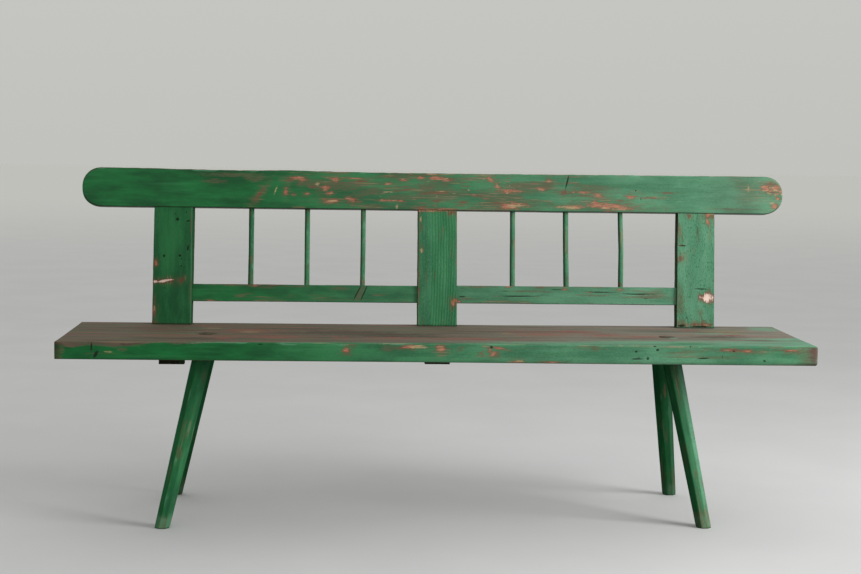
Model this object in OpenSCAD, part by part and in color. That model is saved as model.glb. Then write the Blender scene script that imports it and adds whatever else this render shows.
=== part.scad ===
// Painted plank bench with a raked spindle back, the kind used as a pew in
// country churches. One thick seat plank, four splayed eight-sided legs, the front
// ones wedged into it from above, and a back of three posts keyed under the seat.
//
// X runs along the bench, Y from front to back, Z up. The origin lies on the
// floor, under the middle of the whole bench.
// Inside the modules the bench is laid out from the seat: x = 0 at the middle
// of the seat plank, y = 0 at its front edge and z = 0 on the floor.

/* [Seat] */
// Length of the seat plank
seat_length = 1757; // [1700:1:1770]
// Depth of the seat plank, front to back
seat_depth = 402; // [390:1:420]
// Thickness of the seat plank
seat_thick = 43; // [38:1:50]
// Height of the sitting surface above the floor
seat_height = 460; // [430:5:490]
// Radius worn on the front corners of the seat
seat_front_radius = 9; // [4:1:14]
// Radius of the rear right corner of the seat
seat_rear_radius = 18; // [6:1:24]

/* [Legs] */
// Distance from the middle of the seat to each foot
foot_x = 650; // [620:1:680]
// Distance of the front feet behind the front edge of the seat
foot_front_y = 135; // [100:1:150]
// Distance of the rear feet behind the front edge of the seat
foot_rear_y = 506; // [450:1:520]
// Distance from the middle of the seat to each leg's tenon on top of the seat
leg_top_x = 555; // [530:1:580]
// Distance of the front tenons behind the front edge of the seat
leg_top_front_y = 174; // [150:1:190]
// Distance of the rear tenons behind the front edge of the seat
leg_top_rear_y = 315; // [270:1:330]
// Width of a leg across its flats at the floor
leg_foot_width = 36; // [30:1:40]
// Width of a leg across its flats under the seat
leg_top_width = 47; // [45:1:52]
// Diameter of the round tenon at the top of a leg
leg_tenon_d = 40; // [30:1:42]

/* [Back] */
// Lean of the back from upright, in degrees
rake = 6.65; // [0:0.05:10]
// Offset of the middle of the back from the middle of the seat
back_x = 12.5; // [-20:0.5:20]
// Distance of the posts' front faces behind the front edge of the seat
back_y = 362; // [345:1:364]
// Distance between the middle post and each outer post
post_spacing = 660; // [640:1:680]
// Width of a post
post_width = 97; // [80:1:110]
// Thickness of a post
post_thick = 32; // [28:1:36]
// Width of the tenon that passes through the seat
post_tenon_width = 63; // [50:1:70]
// Length of a post below the underside of the seat
post_stub = 56; // [45:1:70]

/* [Top rail] */
// Length of the top rail over its round ends
rail_length = 1770; // [1720:1:1790]
// Height of the top rail
rail_height = 96; // [85:1:110]
// Thickness of the top rail
rail_thick = 36; // [34:1:40]
// Height of the rail's lower edge above the sitting surface
rail_rise = 291.5; // [260:0.5:320]

/* [Lower rails and spindles] */
// Height of a lower rail
low_rail_height = 44; // [36:1:52]
// Thickness of a lower rail
low_rail_thick = 18; // [16:1:22]
// Height of the lower rail's lower edge above the sitting surface
low_rail_rise = 58; // [45:0.5:70]
// Diameter of a spindle at its middle
spindle_d = 13; // [11:0.5:14]
// Distance between neighbouring spindles
spindle_pitch = 139.5; // [120:0.5:145]

/* [Hidden] */
$fn = 64;

paint_green = [0.27, 0.36, 0.24];
worn_green = [0.36, 0.39, 0.31];
bare_wood = [0.45, 0.38, 0.29];

fit = 0.1;              // clearance round a tenon, a peg or a spindle's end
far = 4000;             // larger than the bench, for the cutting blocks
seat_under = seat_height - seat_thick;
post_side = [-1, 0, 1];

// The legs stand slightly unevenly: [side, foot shift, tenon shift, is rear].
leg_side = [-1, 1, -1, 1];
foot_shift = [0, 3, -2, -2];
tenon_shift = [9, 4, 11, 14];
leg_is_rear = [false, false, true, true];
leg_facets = 8;
leg_flat = 1 / cos(180 / leg_facets);
tenon_overlap = 12;     // how far the tenon's root is sunk in the leg
rear_tenon_skin = 12;   // wood left over the blind tenon of a rear leg

wedge_top = 6;          // thickness of a leg's wedge at the sitting surface
wedge_tip = 2;          // and at its buried end
wedge_depth = 32;

middle_post_shift = 1;
stub_cut = [0, 0, 11];  // how much less each post reaches below the seat
post_tenon_thick = post_thick - 6;
rail_tenon_width = 60;
rail_tenon_thick = 14;
rail_tenon_length = 50;
blind_gap = 2;          // space past the end of a blind tenon

rail_proud = 2;         // the top rail's face stands this far before the posts
rail_low = rail_rise / cos(rake);
rail_front = -rail_proud;
peg_d = 9;
peg_rise = 24;          // height of a peg above the rail's lower edge
peg_skin = 5;           // wood left before the peg's blind end

low_rail_low = low_rail_rise / cos(rake);
low_rail_high = low_rail_low + low_rail_height;
low_tenon_height = 30;
low_tenon_thick = 10;
low_tenon_length = 25;

spindle_shift = [2.4, -0.5]; // each group's offset from the middle of its bay
spindle_back = post_thick / 2;
spindle_end_d = spindle_d - 2.5;
spindle_socket = 20;    // depth of a spindle's socket in either rail

key_width = 16;
key_front_height = 11;
key_rear_height = 18;
key_front_y = back_y - 44;
key_rear_y = back_y + 36;
key_relief = 4;         // the key's slot runs this far up inside the seat

ease = 4;               // worn arris along the front of the seat

// Middle of the whole bench, as laid out from the seat
x_low = min(-seat_length / 2, back_x - rail_length / 2);
x_high = max(seat_length / 2, back_x + rail_length / 2);
y_high = foot_rear_y + leg_foot_width / 2;
centre_shift = [-(x_low + x_high) / 2, -y_high / 2, 0];

function tenon_top(i) = seat_height - (leg_is_rear[i] ? rear_tenon_skin : 0);
function foot_at(i) =
    [leg_side[i] * foot_x + foot_shift[i], leg_is_rear[i] ? foot_rear_y : foot_front_y, 0];
function leg_top_at(i) =
    [leg_side[i] * leg_top_x + tenon_shift[i],
     leg_is_rear[i] ? leg_top_rear_y : leg_top_front_y, seat_height];
function leg_at(i, z) = foot_at(i) + (leg_top_at(i) - foot_at(i)) * z / seat_height;
function post_x(k) =
    back_x + post_side[k] * post_spacing + (k == 1 ? middle_post_shift : 0);
function spindle_x(k) =
    back_x + (k < 3 ? -1 : 1) * post_spacing / 2 + ((k % 3) - 1) * spindle_pitch
    + spindle_shift[k < 3 ? 0 : 1];

// Shifts the layout from the seat's corner to the middle of the whole bench
module placed() {
    translate(centre_shift) children();
}

// Space between two heights
module slab(z_low, z_high) {
    translate([-far / 2, -far / 2, z_low]) cube([far, far, z_high - z_low]);
}

// The leaning plane of the back: y runs into it and z runs up along it
module in_back() {
    translate([0, back_y, seat_height]) rotate([-rake, 0, 0]) children();
}

// Turns z onto the axis of a leg, with the origin where it meets the seat top
module in_leg(i) {
    d = leg_top_at(i) - foot_at(i);
    translate(leg_top_at(i))
        rotate([0, acos(d[2] / norm(d)), atan2(d[1], d[0])])
            rotate([0, 0, -atan2(d[1], d[0])])
                children();
}

// ---- seat ----

module corner_cut(r) {
    difference() {
        translate([-1, -1]) square(r + 1);
        translate([r, r]) circle(r);
    }
}

module seat_outline() {
    difference() {
        translate([-seat_length / 2, 0]) square([seat_length, seat_depth]);
        for (s = [-1, 1])
            translate([s * seat_length / 2, 0])
                mirror([s > 0 ? 1 : 0, 0]) corner_cut(seat_front_radius);
        translate([seat_length / 2, seat_depth]) rotate(180) corner_cut(seat_rear_radius);
    }
}

module leg_tenon(i, gap) {
    intersection() {
        in_leg(i) translate([0, 0, -far / 20]) cylinder(h = far / 10, d = leg_tenon_d + 2 * gap);
        slab(seat_under - tenon_overlap, tenon_top(i) + (gap > 0 ? blind_gap : 0));
    }
}

module post_tenon_below(k, gap) {
    reach = (seat_thick + post_stub - stub_cut[k]) / cos(rake);
    in_back()
        translate([post_x(k) - post_tenon_width / 2 - gap,
                   (post_thick - post_tenon_thick) / 2 - gap,
                   -reach])
            cube([post_tenon_width + 2 * gap, post_tenon_thick + 2 * gap, reach + 10]);
}

module front_arris() {
    translate([-seat_length / 2 - 1, 0, seat_height]) rotate([0, 90, 0])
        linear_extrude(seat_length + 2)
            difference() {
                translate([-1, -1]) square(ease + 1);
                translate([ease, ease]) circle(ease);
            }
}

module seat_plank() {
    color(worn_green) placed() difference() {
        translate([0, 0, seat_under]) linear_extrude(seat_thick) seat_outline();
        front_arris();
        for (i = [0:3]) leg_tenon(i, fit);
        for (k = [0:2]) post_tenon_below(k, fit);
    }
}

// ---- legs ----

// Eight-sided ring with flats facing front, back, left and right
function leg_ring(centre, width) = [
    for (j = [0:leg_facets - 1])
        let (a = (j + 0.5) * 360 / leg_facets)
            centre + width / 2 * leg_flat * [cos(a), sin(a), 0]
];

module leg_shaft(i) {
    n = leg_facets;
    low = leg_ring(foot_at(i), leg_foot_width);
    high = leg_ring(leg_at(i, seat_under), leg_top_width);
    polyhedron(
        points = concat(low, high),
        faces = concat(
            [[for (j = [0:n - 1]) j]],
            [[for (j = [0:n - 1]) 2 * n - 1 - j]],
            [for (j = [0:n - 1]) [(j + 1) % n, j, n + j]],
            [for (j = [0:n - 1]) [(j + 1) % n, n + j, n + (j + 1) % n]]));
}

// The wedge's outline across the bench, its fat end at the sitting surface
module wedge_block(i) {
    in_leg(i)
        translate([0, leg_tenon_d, 0]) rotate([90, 0, 0])
            linear_extrude(2 * leg_tenon_d)
                polygon([[-wedge_tip / 2, -wedge_depth], [wedge_tip / 2, -wedge_depth],
                         [wedge_top / 2, 0], [wedge_top / 2, leg_tenon_d],
                         [-wedge_top / 2, leg_tenon_d], [-wedge_top / 2, 0]]);
}

module leg(i) {
    color(paint_green) placed() union() {
        leg_shaft(i);
        difference() {
            leg_tenon(i, 0);
            if (!leg_is_rear[i]) wedge_block(i);
        }
    }
}

module leg_wedge(i) {
    color(bare_wood) placed() intersection() {
        leg_tenon(i, 0);
        wedge_block(i);
    }
}

// ---- back posts ----

// Wedge-shaped bar from front to back, tight under the seat
module key_block(k, gap, relief) {
    translate([post_x(k) - key_width / 2 - gap, 0, 0])
        rotate([90, 0, 90]) linear_extrude(key_width + 2 * gap)
            polygon([[key_front_y, seat_under - key_front_height],
                     [key_rear_y, seat_under - key_rear_height],
                     [key_rear_y, seat_under + relief],
                     [key_front_y, seat_under + relief]]);
}

module rail_tenon(k, gap, extra) {
    translate([post_x(k) - rail_tenon_width / 2 - gap,
               (post_thick - rail_tenon_thick) / 2 - gap, rail_low - 1])
        cube([rail_tenon_width + 2 * gap, rail_tenon_thick + 2 * gap,
              rail_tenon_length + extra + 1]);
}

module low_rail_blank(x_from, x_to, height, thick) {
    translate([x_from, (post_thick - thick) / 2,
               low_rail_low + (low_rail_height - height) / 2])
        cube([x_to - x_from, thick, height]);
}

// Mortises for the tenons of the lower rails, on the sides that have one
module post_mortises(k) {
    reach = low_tenon_length + blind_gap;
    if (k > 0)
        low_rail_blank(post_x(k) - post_width / 2 - 1, post_x(k) - post_width / 2 + reach,
                       low_tenon_height + 2 * fit, low_tenon_thick + 2 * fit);
    if (k < 2)
        low_rail_blank(post_x(k) + post_width / 2 - reach, post_x(k) + post_width / 2 + 1,
                       low_tenon_height + 2 * fit, low_tenon_thick + 2 * fit);
}

module post(k) {
    color(paint_green) placed() difference() {
        union() {
            intersection() {
                in_back() translate([post_x(k) - post_width / 2, 0, -20])
                    cube([post_width, post_thick, rail_low + 20]);
                slab(seat_height, far / 2);
            }
            post_tenon_below(k, 0);
            in_back() rail_tenon(k, 0, 0);
        }
        in_back() post_mortises(k);
        in_back() peg_hole(k, fit);
        key_block(k, 0, key_relief);
    }
}

module post_key(k) {
    color(bare_wood) placed() key_block(k, -fit, 0);
}

// ---- top rail ----

module peg_hole(k, gap) {
    rear = rail_front + rail_thick;
    translate([post_x(k), rear, rail_low + peg_rise]) rotate([90, 0, 0])
        cylinder(h = rail_thick - peg_skin, d = peg_d + 2 * gap);
}

module spindle_bore(k) {
    translate([spindle_x(k), spindle_back, rail_low - 1])
        cylinder(h = spindle_socket + blind_gap + 1, d = spindle_end_d + 2 * fit);
}

module top_rail() {
    r = rail_height / 2;
    color(paint_green) placed() in_back() difference() {
        translate([back_x, rail_front + rail_thick, rail_low + r]) rotate([90, 0, 0])
            linear_extrude(rail_thick) union() {
                square([rail_length - 2 * r, rail_height], center = true);
                for (s = [-1, 1]) translate([s * (rail_length / 2 - r), 0]) circle(r);
            }
        for (k = [0:2]) rail_tenon(k, fit, blind_gap);
        for (k = [0:2]) peg_hole(k, fit);
        for (k = [0:5]) spindle_bore(k);
    }
}

module rail_peg(k) {
    color(bare_wood) placed() in_back() peg_hole(k, 0);
}

// ---- lower rails and spindles ----

module lower_rail(k) {
    shoulder_left = post_x(k) + post_width / 2;
    shoulder_right = post_x(k + 1) - post_width / 2;
    color(paint_green) placed() in_back() difference() {
        union() {
            low_rail_blank(shoulder_left, shoulder_right, low_rail_height, low_rail_thick);
            low_rail_blank(shoulder_left - low_tenon_length, shoulder_right + low_tenon_length,
                           low_tenon_height, low_tenon_thick);
        }
        for (s = [0:2])
            translate([spindle_x(3 * k + s), spindle_back, low_rail_high - spindle_socket - blind_gap])
                cylinder(h = spindle_socket + blind_gap + 1, d = spindle_end_d + 2 * fit);
    }
}

// Whittled rod, fullest at its middle, with a plain round end in each rail
module spindle(k) {
    low = low_rail_high - spindle_socket;
    high = rail_low + spindle_socket;
    neck = (spindle_d + spindle_end_d) / 4;
    color(paint_green) placed() in_back()
        translate([spindle_x(k), spindle_back, 0])
            rotate_extrude()
                polygon([[0, low], [spindle_end_d / 2, low], [spindle_end_d / 2, low_rail_high],
                         [neck, low_rail_high], [spindle_d / 2, (low + high) / 2],
                         [neck, rail_low], [spindle_end_d / 2, rail_low],
                         [spindle_end_d / 2, high], [0, high]]);
}

seat_plank();
leg(0);  // leg_front_left
leg(1);  // leg_front_right
leg(2);  // leg_rear_left
leg(3);  // leg_rear_right
leg_wedge(0);  // wedge_front_left
leg_wedge(1);  // wedge_front_right
post(0);  // post_left
post(1);  // post_centre
post(2);  // post_right
post_key(0);  // post_key_left
post_key(1);  // post_key_centre
post_key(2);  // post_key_right
top_rail();
rail_peg(0);  // rail_peg_left
rail_peg(1);  // rail_peg_centre
rail_peg(2);  // rail_peg_right
lower_rail(0);  // lower_rail_left
lower_rail(1);  // lower_rail_right
spindle(0);  // spindle_1
spindle(1);  // spindle_2
spindle(2);  // spindle_3
spindle(3);  // spindle_4
spindle(4);  // spindle_5
spindle(5);  // spindle_6
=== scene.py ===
"""Looks for a green painted plank bench with a spindle back.

Every wooden piece is meshed here from its own place in the frame: boards as closed
lofts with worn arrises, legs with whittled facets, spindles as uneven rods. Wear is
held in the meshes as signed fields, which the materials turn into chips, hazes,
cracks and bare wood. Lengths inside the functions are in millimetres until a mesh
is made.
"""
import math

import bmesh
import bpy
import numpy as np
from mathutils import Matrix, Vector


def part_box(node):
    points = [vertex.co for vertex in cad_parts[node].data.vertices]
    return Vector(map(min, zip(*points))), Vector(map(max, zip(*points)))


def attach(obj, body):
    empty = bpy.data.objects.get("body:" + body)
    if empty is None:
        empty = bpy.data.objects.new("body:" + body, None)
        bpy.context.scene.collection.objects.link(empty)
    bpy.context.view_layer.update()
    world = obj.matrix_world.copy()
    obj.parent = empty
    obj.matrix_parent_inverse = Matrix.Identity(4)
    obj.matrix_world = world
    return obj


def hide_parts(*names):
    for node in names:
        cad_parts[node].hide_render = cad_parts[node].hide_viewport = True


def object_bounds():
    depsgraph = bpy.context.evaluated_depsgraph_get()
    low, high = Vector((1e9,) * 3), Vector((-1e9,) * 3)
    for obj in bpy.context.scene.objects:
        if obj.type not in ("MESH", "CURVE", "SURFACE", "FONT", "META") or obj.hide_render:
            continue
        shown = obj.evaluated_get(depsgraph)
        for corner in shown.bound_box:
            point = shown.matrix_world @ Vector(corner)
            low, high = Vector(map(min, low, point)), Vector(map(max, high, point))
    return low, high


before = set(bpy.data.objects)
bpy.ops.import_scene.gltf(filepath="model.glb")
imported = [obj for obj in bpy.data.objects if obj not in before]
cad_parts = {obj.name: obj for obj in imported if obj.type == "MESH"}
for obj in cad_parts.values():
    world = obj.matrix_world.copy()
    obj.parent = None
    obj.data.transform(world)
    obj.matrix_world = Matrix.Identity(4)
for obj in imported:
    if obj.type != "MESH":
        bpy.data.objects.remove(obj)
cad_low, cad_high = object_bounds()

MM = 0.001
BODY = "root"
RAKE = math.radians(6.65)      # lean of the back from upright


# ---------------------------------------------------------------- places from the frame

def box_mm(node):
    low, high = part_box(node)
    return np.array(low) / MM, np.array(high) / MM


SEAT_LOW, SEAT_HIGH = box_mm("seat_plank")
SEAT_TOP = SEAT_HIGH[2]
SEAT_DEPTH = SEAT_HIGH[1] - SEAT_LOW[1]

ACROSS = np.array([1.0, 0.0, 0.0])
UP = np.array([0.0, math.sin(RAKE), math.cos(RAKE)])        # up along the back
INTO = np.array([0.0, math.cos(RAKE), -math.sin(RAKE)])     # into the back, away from the sitter
# Where the plane of the posts' faces meets the seat
BACK_FOOT = np.array([0.0, SEAT_LOW[1] + 362, SEAT_TOP])

POST_THICK = 32.0
RAIL_THICK = 36.0
LOW_THICK = 18.0
TENON_WIDTH, TENON_THICK = 63.0, 26.0     # the post's tenon through the seat
LEG_TENON_R = 19.6


def rise_of(z_low, depth):
    """How far up the back a lower edge is, from its lowest z and its depth behind the posts' faces."""
    return (z_low + depth * math.sin(RAKE) - SEAT_TOP) / math.cos(RAKE)


RAIL_LOW, RAIL_HIGH = box_mm("top_rail")
RAIL_RISE = rise_of(RAIL_LOW[2], RAIL_THICK - 2)


def of_vertices(mesh, name):
    """A mesh's "co" or "normal", one row to a vertex."""
    values = np.empty(len(mesh.vertices) * 3)
    mesh.vertices.foreach_get(name, values)
    return values.reshape(-1, 3)


def leg_line(node):
    """A leg's centre on the floor, how far it moves per mm of height, and the height of its tenon's
    top, from its CAD solid."""
    co = of_vertices(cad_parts[node].data, "co") / MM
    centres = []
    for part in (co[co[:, 2] < 1], co[co[:, 2] > co[:, 2].max() - 0.5]):
        centres.append((part.min(0) + part.max(0)) / 2)
    foot, top = centres
    return foot, (top - foot) / (top[2] - foot[2]), top[2]


LEGS = {f"leg_{side}": leg_line(f"leg_{side}")
        for side in ("front_left", "front_right", "rear_left", "rear_right")}


def seat_under(x):
    """Height of the plank's underside, which was sawn thicker towards the right."""
    return SEAT_TOP - np.interp(x, [-887, -500, -82, 300, 868], [40.8, 42.2, 43.0, 44.4, 46.0])


# ---------------------------------------------------------------- noise and wear fields

def noise(points, cell, seed):
    """Smooth noise from -1 to 1 whose features are about cell mm across, one size or one per axis."""
    table = np.random.default_rng(seed).uniform(-1, 1, (32, 32, 32))
    q = points / np.asarray(cell, float) + 100.0
    base = np.floor(q).astype(int)
    t = q - base
    t = t * t * (3 - 2 * t)
    total = np.zeros(len(points))
    for dx in (0, 1):
        for dy in (0, 1):
            for dz in (0, 1):
                weight = (np.where(dx, t[:, 0], 1 - t[:, 0]) * np.where(dy, t[:, 1], 1 - t[:, 1])
                          * np.where(dz, t[:, 2], 1 - t[:, 2]))
                total += weight * table[(base[:, 0] + dx) % 32, (base[:, 1] + dy) % 32,
                                        (base[:, 2] + dz) % 32]
    return total


def smooth(x, low, high):
    """0 below low, 1 above high and an easy curve between them."""
    t = np.clip((x - low) / (high - low), 0, 1)
    return t * t * (3 - 2 * t)


def between(x, rise_from, rise_to, fall_from, fall_to):
    """An easy rise from 0 to 1 and, further on, an easy fall back to 0."""
    return smooth(x, rise_from, rise_to) * smooth(-x, -fall_to, -fall_from)


# The layers of wear, painted shade and painted light, three fields to a mesh attribute
LAYERS = {
    "chip": ("orange", "red", "cream"),
    "age": ("brown", "dark", "pale"),
    "skin": ("white", "bare", "haze"),
    "wash": ("grime_and_shade", "bleach", "crest"),
}

CHIP_EDGE, CRACK_EDGE = 0.55, 0.12     # how far noise moves a mark's outline
THINNEST_MARK = 1.5                    # least half height of a mark, in mm


class Wear:
    """Fields of wear, painted shade and painted light at a mesh's vertices. Those from -1 to 1 show where
    they are above 0; the amounts of grime with painted shade, of fading with painted sheen and of painted
    highlight on grain crests go from 0 to 1."""

    def __init__(self, local):
        self.local = local
        self.field = {name: np.full(len(local), -1.0) for names in LAYERS.values() for name in names}
        for name in LAYERS["wash"]:
            self.field[name][:] = 0

    def __getitem__(self, name):
        return self.field[name]

    def shown(self, name, rise=0.0):
        """How much a field shows, from 0 to 1, once it is raised a little."""
        return np.clip(self.field[name] + rise, 0, 1)

    def raise_to(self, name, level):
        self.field[name] = np.maximum(self.field[name], np.clip(level, -1, 1))

    def stamp(self, marks, flat, where, seed):
        """Marks at known places, by kind: place along and across, half sizes and, if any, tilt."""
        rough = 0.6 * noise(self.local, (15, 5, 9), seed) + 0.4 * noise(self.local, (6, 2.4, 5), seed + 1)
        for kind, places in marks.items():
            edge = rough * (CRACK_EDGE if kind == "dark" else CHIP_EDGE)
            for along, across, half_long, half_high, *tilt in places:
                c, s = math.cos(math.radians(sum(tilt))), math.sin(math.radians(sum(tilt)))
                dx, dy = flat[:, 0] - along, flat[:, 1] - across
                a, b = dx * c + dy * s, dy * c - dx * s
                reach = np.sqrt((a / half_long) ** 2 + (b / max(half_high, THINNEST_MARK)) ** 2)
                self.raise_to(kind, np.where(where, 1 - reach + edge, -1))
                if kind in ("orange", "red"):
                    self.raise_to("haze", np.where(where, 0.55 - reach / 3 + edge, -1))

    def scatter(self, name, weight, cell, cover, seed):
        """Wear in random places: cover is the share of the surface it takes where weight is 1."""
        n = (0.65 * noise(self.local, cell, seed)
             + 0.35 * noise(self.local, np.asarray(cell) / 2.7, seed + 7))
        level = (n - np.quantile(n, 1 - cover)) * 2.5 - (1 - weight) * 1.6
        self.raise_to(name, np.where(weight > 0, level, -1))

    def store(self, piece, shift):
        """Writes the fields and the grain's own coordinates into the mesh, in metres."""
        layers = {name: np.stack([self.field[k] for k in kinds], 1) for name, kinds in LAYERS.items()}
        layers["grain"] = (self.local + [shift, shift / 3, 0]) * MM
        for name, values in layers.items():
            layer = piece.data.attributes.new(name, "FLOAT_VECTOR", "POINT")
            layer.data.foreach_set("vector", values.ravel())


def fade_and_sheen_at(x):
    """How chalky and light the paint is at x: the right end of the bench stood by a window, so this is
    partly paint faded by the sun and partly a painted sheen of the window's light.
    """
    return np.clip((x + 470) / 1250, 0, 1)


# ---------------------------------------------------------------- meshes

SHARP = math.radians(48)       # edges that turn more than this aren't smoothed
STEP = 2.4                     # between a board's stations along the grain


def in_scene(name, data):
    """A new object in the scene that holds this mesh, lamp or camera."""
    thing = bpy.data.objects.new(name, data)
    bpy.context.scene.collection.objects.link(thing)
    return thing


def make_object(name, node, verts, faces):
    """A smooth-shaded mesh object in the frame, from millimetres, with its sharp edges kept."""
    mesh = bpy.data.meshes.new(name)
    mesh.from_pydata((np.asarray(verts) * MM).tolist(), [], faces)
    bm = bmesh.new()
    bm.from_mesh(mesh)
    bmesh.ops.remove_doubles(bm, verts=bm.verts, dist=2e-6)
    bmesh.ops.recalc_face_normals(bm, faces=bm.faces)
    bm.to_mesh(mesh)
    bm.free()
    mesh.shade_smooth()
    mesh.set_sharp_from_angle(angle=SHARP)
    piece = in_scene(name, mesh)
    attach(piece, BODY)
    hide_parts(node)
    return piece


def vertices_mm(piece):
    return of_vertices(piece.data, "co") / MM


def normals_of(piece):
    return of_vertices(piece.data, "normal")


def set_vertices(piece, points):
    piece.data.vertices.foreach_set("co", (points * MM).ravel())
    piece.data.update()


def sink_surface(piece, depth):
    """Moves every vertex inwards by its own depth, in mm."""
    points, normals = vertices_mm(piece), normals_of(piece)
    set_vertices(piece, points - normals * depth[:, None])


class Place:
    """A board's own axes: along the grain, across its face and into its thickness."""

    def __init__(self, origin, along, across, into):
        self.origin = np.asarray(origin, float)
        self.axes = np.stack([along, across, into])

    def out(self, local):
        return self.origin + local @ self.axes

    def back(self, points):
        return (points - self.origin) @ self.axes.T


def on_line(along):
    """Points on a line, to read noise along it."""
    return np.stack([along, along * 0, along * 0], 1)


def arris(distance, ease):
    """How far a rounded arris falls below the face, at this distance from the outline."""
    short = np.clip(ease - distance, 0, ease)
    return ease - np.sqrt(np.maximum(ease * ease - short * short, 0))


def board(name, node, place, along, low, high, rear, ease, rows, wall_gap=3.0, outline=None,
          rear_ease=1.4):
    """A closed board whose face is at depth 0 and whose back is at depth rear. low and high are its
    edges at each station along the grain, rows the places of its vertices across the face as shares
    of its width, ease the radius of the face's arrises, and outline(u, v, low, high) the distance
    to the face's outline."""
    count, n = len(along), len(rows)
    low, high, rear, ease = (np.broadcast_to(np.asarray(x, float), count)
                             for x in (low, high, rear, ease))
    m = max(2, int(rear.max() / wall_gap))
    ramp = np.linspace(0, 1, m + 2)[1:-1]
    sections = []
    for i in range(count):
        across = low[i] + (high[i] - low[i]) * rows
        if outline is None:
            inset = np.minimum(across - low[i], high[i] - across)
        else:
            inset = outline(along[i], across, low[i], high[i])
        face = arris(np.clip(inset, 0, ease[i]), ease[i])
        back = rear[i] - arris(np.clip(inset, 0, rear_ease), rear_ease)
        wall_high = face[-1] + (back[-1] - face[-1]) * ramp
        wall_low = face[0] + (back[0] - face[0]) * ramp
        v = np.concatenate([across, np.full(m, high[i]), across[::-1], np.full(m, low[i])])
        w = np.concatenate([face, wall_high, back[::-1], wall_low[::-1]])
        sections.append(np.stack([np.full(len(v), along[i]), v, w], 1))
    ring = 2 * (n + m)
    i, j = np.meshgrid(np.arange(count - 1), np.arange(ring), indexing="ij")
    a, b = i * ring + j, i * ring + (j + 1) % ring
    faces = np.stack([a, b, b + ring, a + ring], -1).reshape(-1, 4).tolist()
    verts = np.concatenate(sections)
    for station in (0, count - 1):
        if high[station] - low[station] > 1:
            verts, faces = add_end(verts, faces, station * ring, n, m)
    return make_object(name, node, place.out(verts), faces)


def add_end(verts, faces, start, n, m):
    """Closes one end of a board with a grid of faces."""
    grid = np.empty((n, m + 2), int)
    grid[:, 0] = start + np.arange(n)
    grid[:, -1] = start + 2 * n + m - 1 - np.arange(n)
    grid[-1, 1:-1] = start + n + np.arange(m)
    grid[0, 1:-1] = start + 2 * (n + m) - 1 - np.arange(m)
    inner = []
    for j in range(1, n - 1):
        for k in range(1, m + 1):
            grid[j, k] = len(verts) + len(inner)
            inner.append(verts[grid[j, 0]] + (verts[grid[j, -1]] - verts[grid[j, 0]]) * k / (m + 1))
    quads = [[grid[j, k], grid[j + 1, k], grid[j + 1, k + 1], grid[j, k + 1]]
             for j in range(n - 1) for k in range(m + 1)]
    return np.concatenate([verts, np.array(inner)]), faces + [[int(q) for q in quad] for quad in quads]


ARRIS_STEPS = np.array([0.0, 0.1, 0.26, 0.5, 0.8, 1.2])     # in radii, close together on the curve


def angles_of(count):
    """Even angles round a circle."""
    return 2 * math.pi * np.arange(count) / count


def even_rows(width, gap, ease):
    """Shares of a board's width: close together over both arrises and even between them."""
    near = ease * ARRIS_STEPS
    middle = np.linspace(near[-1], width - near[-1], max(3, int((width - 2 * near[-1]) / gap) + 1))
    return np.concatenate([near, middle[1:-1], (width - near)[::-1]]) / width


def stations(start, stop, step, ease=0.0):
    """Places along a board, closer together over its ends where they are eased."""
    near = ease * ARRIS_STEPS if ease else np.array([0.0])
    middle = np.linspace(start + near[-1], stop - near[-1], max(2, int((stop - start) / step)))
    return np.concatenate([start + near[:-1], middle, (stop - near[:-1])[::-1]])


def rod_faces(count, sides, start=0):
    """Faces of a closed rod whose rings of vertices are numbered from start."""
    last = start + (count - 1) * sides
    faces = [[a + k, a + (k + 1) % sides, a + sides + (k + 1) % sides, a + sides + k]
             for a in range(start, last, sides) for k in range(sides)]
    return faces + [list(range(start, start + sides))[::-1], list(range(last, last + sides))]


def tube(name, node, rings):
    """A closed rod from rings of points, all with the same number of points."""
    return make_object(name, node, np.concatenate(rings), rod_faces(len(rings), len(rings[0])))


# ---------------------------------------------------------------- materials

def srgb(r, g, b):
    """Linear colour from 0-255 display values."""
    def one(c):
        c /= 255
        return c / 12.92 if c < 0.04045 else ((c + 0.055) / 1.055) ** 2.4
    return (one(r), one(g), one(b), 1.0)


SURFACE_INPUTS = {"colour": "Base Color", "roughness": "Roughness", "gloss": "Specular IOR Level",
                  "normal": "Normal"}


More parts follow.
